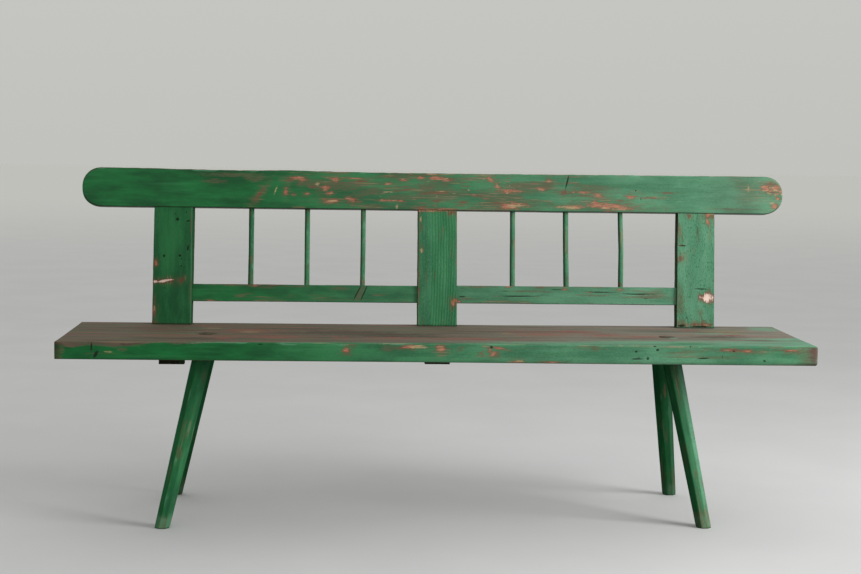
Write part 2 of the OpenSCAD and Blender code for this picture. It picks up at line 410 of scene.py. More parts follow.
class Graph:
    """Adds nodes to a material or a world. Inputs may be numbers, colours or other nodes' outputs."""

    def __init__(self, owner):
        owner.use_nodes = True
        self.owner = owner
        self.nodes = owner.node_tree.nodes
        self.links = owner.node_tree.links

    def put(self, socket, value):
        if isinstance(value, bpy.types.NodeSocket):
            self.links.new(value, socket)
        else:
            socket.default_value = value

    def new(self, kind, inputs, **settings):
        """The outputs of a new node with these settings, and inputs by name or number."""
        node = self.nodes.new("ShaderNode" + kind)
        for name, value in settings.items():
            setattr(node, name, value)
        for name, value in inputs.items():
            self.put(node.inputs[name], value)
        return node.outputs

    def attribute(self, name):
        """The three parts of a vector attribute."""
        vector = self.new("Attribute", {}, attribute_name=name)["Vector"]
        parts = self.new("SeparateXYZ", {0: vector})
        return parts[0], parts[1], parts[2]

    def math(self, operation, a, b=0.0, clamp=False):
        return self.new("Math", {0: a, 1: b}, operation=operation, use_clamp=clamp)[0]

    def grain_noise(self, scale, detail=3.0, roughness=0.55, shift=(0, 0, 0)):
        """Noise stretched along the grain, with its own scale per axis, per metre."""
        grain = self.new("Attribute", {}, attribute_name="grain")["Vector"]
        stretched = self.new("Mapping", {"Vector": grain, "Scale": scale, "Location": shift})[0]
        inputs = {"Vector": stretched, "Scale": 1.0, "Detail": detail, "Roughness": roughness}
        return self.new("TexNoise", inputs)["Fac"]

    def ramp(self, value, low, high, to_low=0.0, to_high=1.0):
        inputs = {"Value": value, "From Min": low, "From Max": high, "To Min": to_low, "To Max": to_high}
        return self.new("MapRange", inputs, interpolation_type="SMOOTHSTEP")["Result"]

    def mix(self, factor, a, b):
        return self.new("Mix", {"Factor": factor, 6: a, 7: b}, data_type="RGBA")[2]

    def times(self, a, b, clamp=False):
        return self.math("MULTIPLY", a, b, clamp)

    def torn(self, level, tear, size, soft):
        """A field's shape with its outline torn by noise, which starts nothing far outside it."""
        ragged = self.ramp(self.math("ADD", level, self.times(tear, size)), -soft, soft)
        return self.times(ragged, self.ramp(level, -0.8, -0.25))

    def surface(self, **inputs):
        """Sets these inputs of the material's surface."""
        shader = self.nodes["Principled BSDF"]
        for name, value in inputs.items():
            self.put(shader.inputs[SURFACE_INPUTS[name]], value)

    def finish(self, colour, roughness, height, distance, gloss):
        bump = self.new("Bump", {"Strength": 0.8, "Distance": distance, "Height": height})["Normal"]
        self.surface(colour=colour, roughness=roughness, gloss=gloss, normal=bump)
        return self.owner


PAINT_DEEP = srgb(16, 76, 38)
PAINT = srgb(22, 110, 53)
PAINT_LIGHT = srgb(50, 126, 74)
# Pale greens for faded paint, also used as a painted sheen
CHALKY_PAINT_AND_SHEEN = srgb(78, 130, 100)
CHALKY_PAINT_AND_SHEEN_LIGHT = srgb(100, 150, 120)
PAINT_MINT = srgb(104, 156, 122)
HAZE_BROWN = srgb(98, 88, 68)
SALMON = srgb(178, 102, 82)
SALMON_TAN = srgb(180, 138, 108)
RED_BROWN = srgb(120, 68, 56)
TAN = srgb(178, 154, 116)
CHIP_WHITE = srgb(232, 206, 192)
CRACK = srgb(20, 24, 18)
# Dark brown for grime and for painted shade
GRIME_AND_SHADE = srgb(40, 36, 26)
SHADE_GREEN = srgb(16, 44, 24)
WOOD_MAUVE = srgb(104, 86, 74)
WOOD_OLIVE = srgb(88, 92, 72)
WOOD_SILVER_AND_SHEEN = srgb(128, 124, 112)
WOOD_DARK = srgb(56, 50, 42)
WOOD_RED = srgb(142, 84, 76)
WOOD_TAN = srgb(134, 118, 90)


def chip_layers(g, colour, tear, fine):
    """The breaks in the paint: brown haze, red primer scuffs, salmon chips with dark rims, tan and
    near-white wood. Also gives the mask of all the true chips."""
    orange, red, cream = g.attribute("chip")
    brown, dark, pale = g.attribute("age")
    white, _, haze = g.attribute("skin")
    broken = g.ramp(g.grain_noise((60, 620, 620), 3.0, 0.65, (4, 4, 1)), 0.36, 0.58, 0.3, 1.0)

    def patchy(level, size, soft, amount):
        """A torn field that the grain breaks up."""
        return g.times(g.torn(level, tear, size, soft), g.times(broken, amount))

    colour = g.mix(g.times(g.torn(haze, tear, 1.1, 0.6), 0.5), colour, HAZE_BROWN)
    lines = g.ramp(g.grain_noise((13, 520, 520), 2.0, 0.5, (6, 2, 2)), 0.57, 0.66)
    lines = g.times(lines, g.ramp(haze, -0.4, 0.4, 0.0, 0.5))
    colour = g.mix(lines, colour, SALMON_TAN)
    colour = g.mix(g.times(g.torn(pale, tear, 0.9, 0.5), 0.45), colour, PAINT_MINT)
    colour = g.mix(patchy(brown, 1.5, 0.55, 0.72), colour, HAZE_BROWN)
    rim = patchy(g.math("ADD", orange, 0.15), 1.3, 0.45, 0.65)
    chips = g.math("MAXIMUM", patchy(red, 1.3, 0.4, 0.75), rim)
    colour = g.mix(chips, colour, RED_BROWN)
    salmon = g.mix(g.ramp(fine, 0.42, 0.6), SALMON, SALMON_TAN)
    core = patchy(g.math("SUBTRACT", orange, 0.25), 1.6, 0.4, 0.95)
    colour = g.mix(core, colour, salmon)
    tan_mask = patchy(cream, 1.2, 0.35, 0.9)
    colour = g.mix(tan_mask, colour, TAN)
    white_rim = g.times(g.torn(g.math("ADD", white, 0.45), tear, 0.9, 0.3), 0.8)
    colour = g.mix(white_rim, colour, RED_BROWN)
    white_mask = g.torn(white, tear, 1.1, 0.25)
    colour = g.mix(white_mask, colour, CHIP_WHITE)
    chips = g.math("MAXIMUM", chips, g.math("MAXIMUM", tan_mask, white_rim))
    return colour, chips, g.times(g.torn(dark, tear, 0.25, 0.35), 0.85)


def green_paint(g, fibre, streaks, cloud, crazed):
    """The green itself, deeper in its hollows, chalky and crazed where the sun has bleached it and
    lighter there with a painted sheen, and painted lighter on the grain's crests as a highlight.
    """
    _, bleach, crest = g.attribute("wash")
    colour = g.mix(g.ramp(cloud, 0.35, 0.68), PAINT_DEEP, PAINT)
    colour = g.mix(g.times(g.ramp(streaks, 0.5, 0.74), 0.35), colour, PAINT_LIGHT)
    # Faded paint, lighter and bluer, also standing in as a painted sheen of the window light
    chalk_and_sheen = g.mix(g.ramp(cloud, 0.38, 0.66), CHALKY_PAINT_AND_SHEEN, CHALKY_PAINT_AND_SHEEN_LIGHT)
    amount = g.times(bleach, g.ramp(streaks, 0.25, 0.75, 0.82, 1.08), clamp=True)
    colour = g.mix(amount, colour, chalk_and_sheen)
    colour = g.mix(g.times(g.ramp(fibre, 0.55, 0.76), 0.4), colour, PAINT_DEEP)
    crazing = g.grain_noise((170, 330, 330), 2.0, 0.6, (2, 9, 4))
    darker = g.times(g.ramp(crazing, 0.54, 0.68, 0.0, crazed), bleach)
    lighter = g.times(g.ramp(crazing, 0.44, 0.3, 0.0, crazed), bleach)
    colour = g.mix(darker, colour, PAINT_DEEP)
    colour = g.mix(lighter, colour, PAINT_MINT)
    # Painted highlight on the crests of the raised grain
    return g.mix(g.times(crest, 0.75), colour, PAINT_LIGHT)


def seat_top_wood(g, tear, fibre, streaks, cloud):
    """Bare softwood on top of the seat: brown at the left, silvery green at the right, weathered and also
    lighter there with a painted sheen, streaked.
    """
    _, red, cream = g.attribute("chip")
    brown, _, pale = g.attribute("age")
    _, bleach, _ = g.attribute("wash")
    broad = g.grain_noise((3.5, 34, 34), 4.0, 0.6, (7, 1, 3))
    long_streak = g.grain_noise((2.2, 120, 120), 3.0, 0.6, (1, 8, 2))
    colour = g.mix(g.ramp(broad, 0.42, 0.6), WOOD_MAUVE, WOOD_OLIVE)
    # Silver towards the right: weathered wood with a painted sheen of the window light
    colour = g.mix(g.times(g.ramp(bleach, 0.0, 1.0), 0.85), colour, WOOD_SILVER_AND_SHEEN)
    colour = g.mix(g.times(g.ramp(long_streak, 0.52, 0.66), 0.75), colour, WOOD_DARK)
    colour = g.mix(g.times(g.ramp(streaks, 0.55, 0.72), 0.5), colour, WOOD_TAN)
    wide = g.grain_noise((2.6, 15, 15), 3.0, 0.6, (5, 5, 9))
    colour = g.mix(g.ramp(wide, 0.52, 0.7, 0.0, 0.4), colour, WOOD_DARK)
    colour = g.mix(g.ramp(wide, 0.48, 0.32, 0.0, 0.35), colour, WOOD_RED)
    for field, size, soft, amount, tint in (
            (red, 1.9, 0.8, 0.55, WOOD_RED), (cream, 1.9, 0.7, 0.6, WOOD_TAN),
            (brown, 1.2, 0.6, 0.5, WOOD_DARK), (pale, 1.2, 0.6, 0.6, CHALKY_PAINT_AND_SHEEN_LIGHT)):
        colour = g.mix(g.times(g.torn(field, tear, size, soft), amount), colour, tint)
    colour = g.mix(g.times(g.ramp(cloud, 0.56, 0.72), 0.25), colour, CHALKY_PAINT_AND_SHEEN)
    return g.mix(g.times(g.ramp(fibre, 0.56, 0.74), 0.5), colour, WOOD_DARK)


def weathered_paint(name, ridge=0.4, worn=False, gloss=0.28, dirt_and_shade=GRIME_AND_SHADE, crazed=0.3):
    """Old green oil paint over red primer on softwood. ridge is how far the wood's grain stands up
    through it, crazed how strongly bleached paint is crazed, gloss its sheen and dirt the colour of its
    grime and painted shade. Worn paint gives way to bare wood where the bare field says so."""
    g = Graph(bpy.data.materials.new(name))
    fibre = g.grain_noise((9, 420, 420), 4.0, 0.6)
    streaks = g.grain_noise((5, 110, 110), 3.0, 0.6)
    cloud = g.grain_noise((6, 20, 20), 4.0, 0.6)
    fine = g.grain_noise((60, 360, 360), 3.0, 0.6)
    long_tear = g.grain_noise((30, 330, 330), 4.0, 0.7, (3, 5, 7))
    short_tear = g.grain_noise((170, 420, 420), 3.0, 0.65, (1, 2, 9))
    tear = g.math("SUBTRACT", g.math("ADD", g.times(long_tear, 2.0), g.times(short_tear, 1.2)), 1.6)

    colour = green_paint(g, fibre, streaks, cloud, crazed)
    colour, chips, cracks = chip_layers(g, colour, tear, fine)
    roughness = g.math("ADD", g.ramp(cloud, 0.3, 0.7, 0.4, 0.54), g.times(chips, 0.25), clamp=True)
    if worn:
        _, bare, _ = g.attribute("skin")
        bare_mask = g.torn(bare, tear, 1.8, 0.6)
        colour = g.mix(bare_mask, colour, seat_top_wood(g, tear, fibre, streaks, cloud))
        roughness = g.math("ADD", roughness, g.times(bare_mask, 0.35), clamp=True)
    colour = g.mix(cracks, colour, CRACK)
    # Grime and painted shade: the paint is darkened towards the last colour where this field is high
    grime_and_shade, _, crest = g.attribute("wash")
    grimed_and_shaded = g.times(grime_and_shade, g.ramp(streaks, 0.25, 0.75, 0.75, 1.15), clamp=True)
    colour = g.mix(grimed_and_shaded, colour, dirt_and_shade)
    height = g.math("ADD", g.times(fibre, ridge), g.times(chips, -0.5))
    height = g.math("ADD", height, g.times(cracks, -1.5))
    height = g.math("ADD", height, g.times(fine, 0.15))
    return g.finish(colour, roughness, height, 0.0006, gloss)


def bare_wood(name):
    """Old unpainted softwood, nearly black with handling and damp."""
    g = Graph(bpy.data.materials.new(name))
    fibre = g.grain_noise((12, 500, 500), 4.0, 0.6)
    cloud = g.grain_noise((20, 60, 60), 3.0, 0.6)
    colour = g.mix(g.ramp(fibre, 0.35, 0.65), srgb(62, 46, 32), srgb(92, 70, 48))
    colour = g.mix(g.ramp(cloud, 0.45, 0.7), colour, srgb(48, 38, 28))
    return g.finish(colour, g.ramp(fibre, 0.3, 0.7, 0.62, 0.82), fibre, 0.0005, 0.2)


RAIL_PAINT = weathered_paint("rail_paint", ridge=0.45, gloss=0.2, crazed=0.25)
POST_PAINT = weathered_paint("post_paint", ridge=0.4, gloss=0.0, crazed=0.5)
LEG_PAINT = weathered_paint("leg_paint", ridge=0.25, worn=True, gloss=0.0, dirt_and_shade=SHADE_GREEN)
SEAT_PAINT = weathered_paint("seat_paint", ridge=0.45, worn=True, gloss=0.12, crazed=0.32)
BARE_WOOD = bare_wood("bare_wood")


def finish_piece(piece, material):
    piece.data.materials.append(material)


# ---------------------------------------------------------------- top rail

RAIL_MARKS = {
    "red": [
        (-447, 30, 18.5, 5.5, 52), (-359, 33, 4, 2.5), (-369, 70, 12, 2.5), (-314, 53, 7, 2.5),
        (-189, 70, 17, 2), (-75, 50, 25, 2.5, 6), (-17, 42, 25, 2.5), (-2, 22, 10, 2.5),
        (13, 44, 30, 3.5), (107, 36, 12, 2), (64, 18, 10, 1.5), (322, 47, 8.5, 5), (441, 9, 45, 3, -2),
        (467, 30, 10, 3), (377, 40, 20, 1.5), (856, 66, 24, 12), (544, 37, 20, 2), (588, 50, 15, 1.5),
    ],
    "cream": [
        (-404, 45, 10, 1.5, 70), (-300, 62, 5, 3.5), (-266, 19, 10, 2), (-100, 7, 3, 6.5),
        (-123, 43, 10, 1.5), (23, 77, 7.5, 1.5), (153, 65, 5, 2, -50), (201, 12, 22, 3.5),
        (337, 10, 25, 3, -3), (447, 9, 30, 1.5, -3), (799, 64, 3, 8.5), (797, 62, 11, 2, 5),
        (860, 28, 5, 2.5), (860, 67, 5, 1.5),
    ],
    "orange": [
        (-379, 41, 5, 7.5), (-326, 36, 7, 2.5, 10), (-347, 77, 20, 3), (-337, 72, 10, 5),
        (-254, 74, 12, 5.5), (-214, 77, 35, 2, -3), (-280, 50, 11, 7.5, 20), (-269, 39, 10, 3.5, 20),
        (-268, 19, 17, 5.5), (-214, 22, 14, 7.5, -12), (-118, 22, 32, 2, -2), (-121, 64, 12, 2.5, 3),
        (-86, 74, 7.5, 2.5), (-40, 80, 7.5, 3.5), (-9, 80, 10, 4), (-19, 1, 25, 3), (19, 0, 30, 3.5),
        (0, 80, 15, 5), (23, 76, 15, 5, -8), (137, 77, 11, 5, -45), (153, 62, 10, 6, -50),
        (188, 49, 32, 4.5), (285, 77, 7.5, 3.5), (265, 56, 10, 5), (186, 12, 37, 8, 2),
        (194, 18, 15, 3.5), (347, 12, 35, 4, -2), (441, 14, 55, 8, -3), (403, 23, 10, 5),
        (472, 10, 25, 5), (375, 49, 30, 2.5), (413, 41, 15, 5, -18), (495, 38, 12, 5.5, 12),
        (867, 67, 10, 6, 30), (836, 69, 8, 3), (866, 20, 8.5, 5.5, 40), (875, 39, 3.5, 5),
    ],
    "brown": [
        (280, 66, 12, 12, 30), (748, 11, 50, 2.5), (-506, 82, 67, 5), (-456, 74, 25, 7.5),
        (-556, 65, 25, 5), (-231, 57, 55, 12), (-319, 63, 35, 10), (-168, 43, 35, 10), (-17, 60, 40, 10),
        (211, 63, 30, 7.5), (403, 60, 50, 7.5),
    ],
    "dark": [
        (331, 74, 20, 2.2, 76), (507, 55, 2.5, 2), (551, 52, 1, 7.5), (534, 42, 1, 5), (521, 34, 1, 5),
    ],
}

RAIL_CAP = 48.0       # radius of the rail's round ends


def rail_edges(along, start, stop):
    """The lower and upper edge of the rail: straight below, worn to a wave above, round at the ends."""
    top = np.interp(along, [-885, -760, -670, -495, -400, -300, -150, 0, 108, 260, 500, 670, 887],
                    [95.8, 95.6, 93.9, 92.8, 94.2, 93.5, 91.3, 92.1, 91.6, 93.0, 93.6, 94.5, 95.2])
    half = 16      # the stations on either side that each one is averaged with
    width = 2 * half + 1
    top = np.convolve(np.pad(top, half, mode="edge"), np.ones(width) / width, mode="valid")
    line = on_line(along)
    middle = between(along, start + 60, start + 160, stop - 160, stop - 60)
    top = top + 0.4 + middle * (0.5 * noise(line, 60, 5) + 0.4 * noise(line, 15, 6))
    from_end = np.minimum(along - start, stop - along)
    into_cap = np.clip(1 - from_end / RAIL_CAP, 0, 1)

    def cap(left_power, right_power):
        power = np.where(along < 0, left_power, right_power)
        return RAIL_CAP * (1 - (1 - into_cap ** power) ** (1 / power))

    low = cap(2.4, 2.1) - np.interp(along, [-880, 880], [1.2, 0.9]) + 0.25 * middle * noise(line, 110, 8)
    high = top - cap(2.12, 2.18)
    centre = (low + high) / 2
    return np.minimum(low, centre), np.maximum(high, centre)


def top_rail():
    """One long board with round ends and a wavy, worn upper edge."""
    start, stop = RAIL_LOW[0] - 1.4, RAIL_HIGH[0] - 0.2
    place = Place(BACK_FOOT + UP * RAIL_RISE - INTO * 2, ACROSS, UP, INTO)
    turn = RAIL_CAP * (1 - np.cos(np.linspace(0, math.pi / 2, 18)))
    straight_part = np.arange(start + RAIL_CAP + STEP, stop - RAIL_CAP - 1, STEP)
    along = np.concatenate([start + turn, straight_part, (stop - turn)[::-1]])
    low, high = rail_edges(along, start, stop)

    def outline(u, v, lo, hi):
        straight = np.minimum(v - lo, hi - v)
        from_end = min(u - start, stop - u)
        if from_end > RAIL_CAP:
            return straight
        return RAIL_CAP - np.hypot(RAIL_CAP - from_end, v - (lo + hi) / 2)

    piece = board("worn_top_rail", "top_rail", place, along, low, high, RAIL_THICK, 2.6,
                  even_rows(96, 2.7, 2.6), outline=outline)
    rail_wear_and_light(piece, place)
    finish_piece(piece, RAIL_PAINT)


def rail_wear_and_light(piece, place):
    """The rail's marks, a scatter of small wear, grime and painted shade, fading with a painted sheen,
    and its dents and grain.
    """
    local = place.back(vertices_mm(piece))
    normals = normals_of(piece)
    facing = normals @ INTO
    face = (facing < -0.5).astype(float)
    upper = smooth(normals @ UP, 0.15, 0.6)
    wear = Wear(local)
    x, height = local[:, 0], local[:, 1]
    wear.stamp(RAIL_MARKS, local, facing < 0.3, 30)
    # Scuffs are thickest round the middle, over a brown haze that leaves both ends clear
    busy = np.exp(-((x - 60) / 400) ** 2) * face * smooth(x, -470, -380)
    rubbed = between(x, -520, -400, 480, 600)
    wear.scatter("haze", rubbed * (0.3 * face + 0.9 * busy), (85, 8, 9), 0.3, 40)
    wear.scatter("red", 0.95 * busy, (36, 3.2, 7), 0.065, 42)
    wear.scatter("cream", 0.9 * busy, (20, 2.8, 6), 0.016, 43)
    wear.scatter("orange", 0.9 * busy, (30, 3, 7), 0.036, 44)
    wear.scatter("haze", upper, (60, 14, 14), 0.5, 46)
    wear.scatter("brown", upper * smooth(-x, -100, 300), (50, 12, 10), 0.4, 47)
    wear.scatter("pale", np.maximum(upper, 0.8 * face * smooth(height, 86, 92)), (46, 9, 9), 0.15, 48)
    wear.scatter("haze", 0.6 * (facing > 0.5), (120, 10, 9), 0.3, 50)
    wear.scatter("red", 0.5 * (facing > 0.5), (40, 4, 7), 0.02, 51)
    # The right end is hazy all over, and speckled above its middle
    right_end = face * smooth(x, 720, 780)
    wear.raise_to("haze", 0.85 * right_end - 1 + 0.4 * noise(local, (50, 18, 30), 52))
    speckled = face * smooth(x, 812, 842) * between(height, 36, 52, 72, 86)
    wear.scatter("orange", speckled, (7, 4, 6), 0.3, 53)
    wear.scatter("cream", 0.95 * speckled, (5, 3, 6), 0.16, 54)
    # Lighter towards the right: faded paint and a painted sheen of the window light
    wear["bleach"][:] = 0.05 + 0.95 * fade_and_sheen_at(x) - 0.09 * smooth(x, 480, 640)
    # Painted shade darkens the lower edge; the face is also darker in a band near the right end, and
    # grimy on its upper arris
    wear.raise_to("grime_and_shade", 0.85 * smooth(-(normals @ UP), 0.1, 0.7))
    wear.raise_to("grime_and_shade", 0.26 * face * between(x, 660, 740, 780, 850))
    wear.raise_to("grime_and_shade", 0.55 * upper * smooth(-x, -100, 500) * face)
    sink = 0.3 * wear.shown("orange", 0.2) + 0.2 * wear.shown("red", 0.1) + 1.2 * wear.shown("dark")
    swell = 0.16 * noise(local, (160, 9, 9), 21) + 0.3 * noise(local, (60, 30, 30), 22)
    sink_surface(piece, np.clip(sink * np.abs(facing) + (0.3 - swell) * np.abs(facing), 0.02, 3))
    wear.store(piece, 3000)


# ---------------------------------------------------------------- seat

FRONT_MARKS = {
    "orange": [
        (-84, 7, 14, 3.5), (-19, 7, 7, 4.5), (-12, 13, 8, 7), (-230, 15, 6, 6, 30), (80, 22, 4, 2.5),
        (101, 12, 3.5, 6), (109, 22, 7, 6, 20), (122, 9, 18, 2, 10), (163, 41, 11, 2.5),
        (245, 41, 18, 1.5), (655, 10, 13, 1.5), (703, 12, 14, 1.8, 2), (811, 10, 13, 1.8),
    ],
    "cream": [(-64, 7, 16, 3.5), (168, 39, 11, 1.5), (-880, 1, 4, 2), (-767, 23, 8, 1, -3)],
    "brown": [
        (-129, 11, 20, 7), (-106, 11, 14, 2.5), (-213, 5, 8, 4.5), (-227, 20, 9, 7, 40), (34, 12, 9, 5.5),
        (344, 7, 11, 6, 20), (684, 11, 45, 3, 1), (768, 2, 18, 6), (850, 23, 26, 30), (862, 20, 14, 26),
        (825, 16, 32, 3.5), (-880, 31, 7, 16), (-873, 20, 7, 9), (-718, 7, 27, 3.5), (-736, 17, 11, 3.5),
    ],
    "dark": [
        (104, 7, 3.5, 3.5), (484, 2, 3.5, 2.5), (490, 11, 3.5, 2.8), (440, 15, 3, 2.5), (468, 31, 3, 3.5),
        (443, 32, 16, 1), (567, 3, 2, 2.5), (669, 13, 2.5, 2), (642, 26, 1, 8), (742, 35, 3, 2.5, 40),
        (597, 30, 16, 0.5, -3), (-805, 12, 2, 11, 5), (-795, 29, 3.5, 9, 30), (-425, 4, 7, 1.5),
    ],
    "red": [(660, 10, 26, 3), (700, 12, 26, 3, 2), (808, 11, 24, 3), (862, 14, 9, 7)],
}
TOP_MARKS = {
    "dark": [(552, 176, 13, 13), (-558, 170, 21, 20)],
    "red": [
        (-388, 108, 65, 22), (-513, 92, 28, 18), (-459, 238, 48, 42), (-250, 108, 9, 20),
        (-231, 100, 7, 20), (-101, 117, 62, 18), (64, 107, 76, 24), (244, 210, 64, 34),
        (339, 268, 45, 26), (402, 199, 50, 25), (483, 173, 50, 21), (721, 240, 31, 34),
        (638, 314, 26, 16),
    ],
    "cream": [(-458, 217, 22, 21), (-547, 286, 22, 13), (160, 225, 15, 17), (714, 293, 57, 26)],
    "pale": [
        (559, 157, 9, 21), (657, 83, 98, 22), (463, 72, 145, 24), (268, 42, 189, 17), (838, 352, 36, 46),
        (790, 146, 70, 14), (700, 250, 60, 14),
    ],
    "brown": [
        (682, 185, 60, 29), (-218, 212, 121, 42), (-111, 177, 96, 41), (800, 110, 70, 16),
        (740, 60, 60, 9),
    ],
}


def seat_cutters():
    """Leaning rods and blocks that cut the legs' bores and the posts' mortises in the plank."""
    verts, faces = [], []

    def add(ring_a, ring_b):
        faces.extend(rod_faces(2, len(ring_a), len(verts)))
        verts.extend(ring_a)
        verts.extend(ring_b)

    angles = angles_of(48)
    circle = np.stack([np.cos(angles), np.sin(angles), 0 * angles], 1) * (LEG_TENON_R + 0.7)
    for foot, slope, top in LEGS.values():
        through = top > SEAT_TOP - 1
        ends = SEAT_TOP - 60, (SEAT_TOP + 20 if through else top + 1.5)
        add(*[foot + slope * z + circle for z in ends])
    play = 0.3
    for node in ("post_left", "post_centre", "post_right"):
        centre = box_mm(node)[0][0] / 2 + box_mm(node)[1][0] / 2
        half = TENON_WIDTH / 2 + play
        near = (POST_THICK - TENON_THICK) / 2 - play
        far = near + TENON_THICK + 2 * play
        rectangle = [(-half, near), (half, near), (half, far), (-half, far)]
        add(*[[BACK_FOOT + ACROSS * (centre + v) + INTO * w + UP * u for v, w in rectangle]
              for u in (-70, 20)])
    mesh = bpy.data.meshes.new("seat_cutters")
    mesh.from_pydata((np.array(verts) * MM).tolist(), [], faces)
    return in_scene("seat_cutters", mesh)


def cut(piece, cutter):
    """Applies a boolean difference and removes the cutter."""
    modifier = piece.modifiers.new("bores", "BOOLEAN")
    modifier.operation = "DIFFERENCE"
    modifier.solver = "EXACT"
    modifier.object = cutter
    depsgraph = bpy.context.evaluated_depsgraph_get()
    result = bpy.data.meshes.new_from_object(piece.evaluated_get(depsgraph))
    piece.modifiers.clear()
    old = piece.data
    piece.data = result
    bpy.data.meshes.remove(old)
    bpy.data.objects.remove(cutter)
    result.set_sharp_from_angle(angle=SHARP)


def seat_blank(place):
    """The plank before its bores: softened front arris, sharp left corner, round right one."""
    x0, x1 = SEAT_LOW[0] + 0.02, SEAT_HIGH[0] + 1.3
    close = 22.0       # how far in from each end the stations are close together
    turn = close * (1 - np.cos(np.linspace(0, math.pi / 2, 12)))[:-1]
    along = np.concatenate([x0 + turn, np.linspace(x0 + close, x1 - close, 560), (x1 - turn)[::-1]])
    line = on_line(along)
    from_end = np.minimum(along - x0, x1 - along)

    def corner(r):
        return r - np.sqrt(np.maximum(r * r - np.maximum(r - from_end, 0) ** 2, 0))

    low = np.where(along < 0, corner(3.0), corner(8.0)) + 0.6
    low = low + 0.3 * noise(line, 240, 60) + 0.2 * noise(line, 30, 61)
    rear_edge = np.interp(along, [-887, -300, 100, 400, 700], [-1.0, 0.9, 0.9, 4.6, 11.0])
    high = SEAT_DEPTH + rear_edge - np.where(along < 0, corner(3.0), corner(20.0))
    high = high + 0.5 * noise(line, 200, 62)
    thick = SEAT_TOP - seat_under(along) - arris(np.clip(x1 - along, 0, 7), 7)
    ease = 3.4 + 0.8 * noise(line, 90, 63) + np.interp(along, [-885, 300, 869], [0, 1.0, 3.2])
    near = 5.0 * ARRIS_STEPS
    fine_depth = 62    # the rows in front of it are closer, for the front arris and its worn strip
    front_rows = np.linspace(near[-1], fine_depth, 18)[1:]
    rear_rows = np.linspace(fine_depth, SEAT_DEPTH - 6, 26)[1:-1]
    rows = np.concatenate([near, front_rows, rear_rows, (SEAT_DEPTH - near)[::-1]]) / SEAT_DEPTH

    def outline(u, v, lo, hi):
        return np.minimum(np.minimum(v - lo, (hi - v) * 2.5), min(u - x0, x1 - u))

    return board("worn_seat_plank", "seat_plank", place, along, low, high, thick, ease, rows,
                 wall_gap=2.7, outline=outline, rear_ease=1.2)


def seat():
    """The plank: worn bare on top, painted on its edges, with the legs' and posts' holes through it."""
    place = Place([0, SEAT_LOW[1], SEAT_TOP], ACROSS, [0, 1, 0], [0, 0, -1])
    piece = seat_blank(place)
    local = place.back(vertices_mm(piece))
    top = normals_of(piece)[:, 2] > 0.5
    dish = 1.4 * np.exp(-((local[:, 1] - 170) / 130) ** 2) * (1 + noise(local, (420, 300, 99), 64)) / 2
    ripples = 0.22 * noise(local, (190, 11, 30), 65) + 0.2 * noise(local, (90, 40, 40), 66)
    inner = smooth(local[:, 1], 2, 14)
    sink_surface(piece, np.where(top, inner * np.clip(dish + 0.3 - ripples, 0, 3), 0.05))
    # The right end isn't cut quite square: its rear corner is further out
    points = vertices_mm(piece)
    local = place.back(points)
    points[:, 0] += 9.0 * smooth(local[:, 0], 800, 860) * np.clip(local[:, 1] / SEAT_DEPTH, 0, 1)
    set_vertices(piece, points)
    cut(piece, seat_cutters())
    seat_wear_and_light(piece, place)
    finish_piece(piece, SEAT_PAINT)


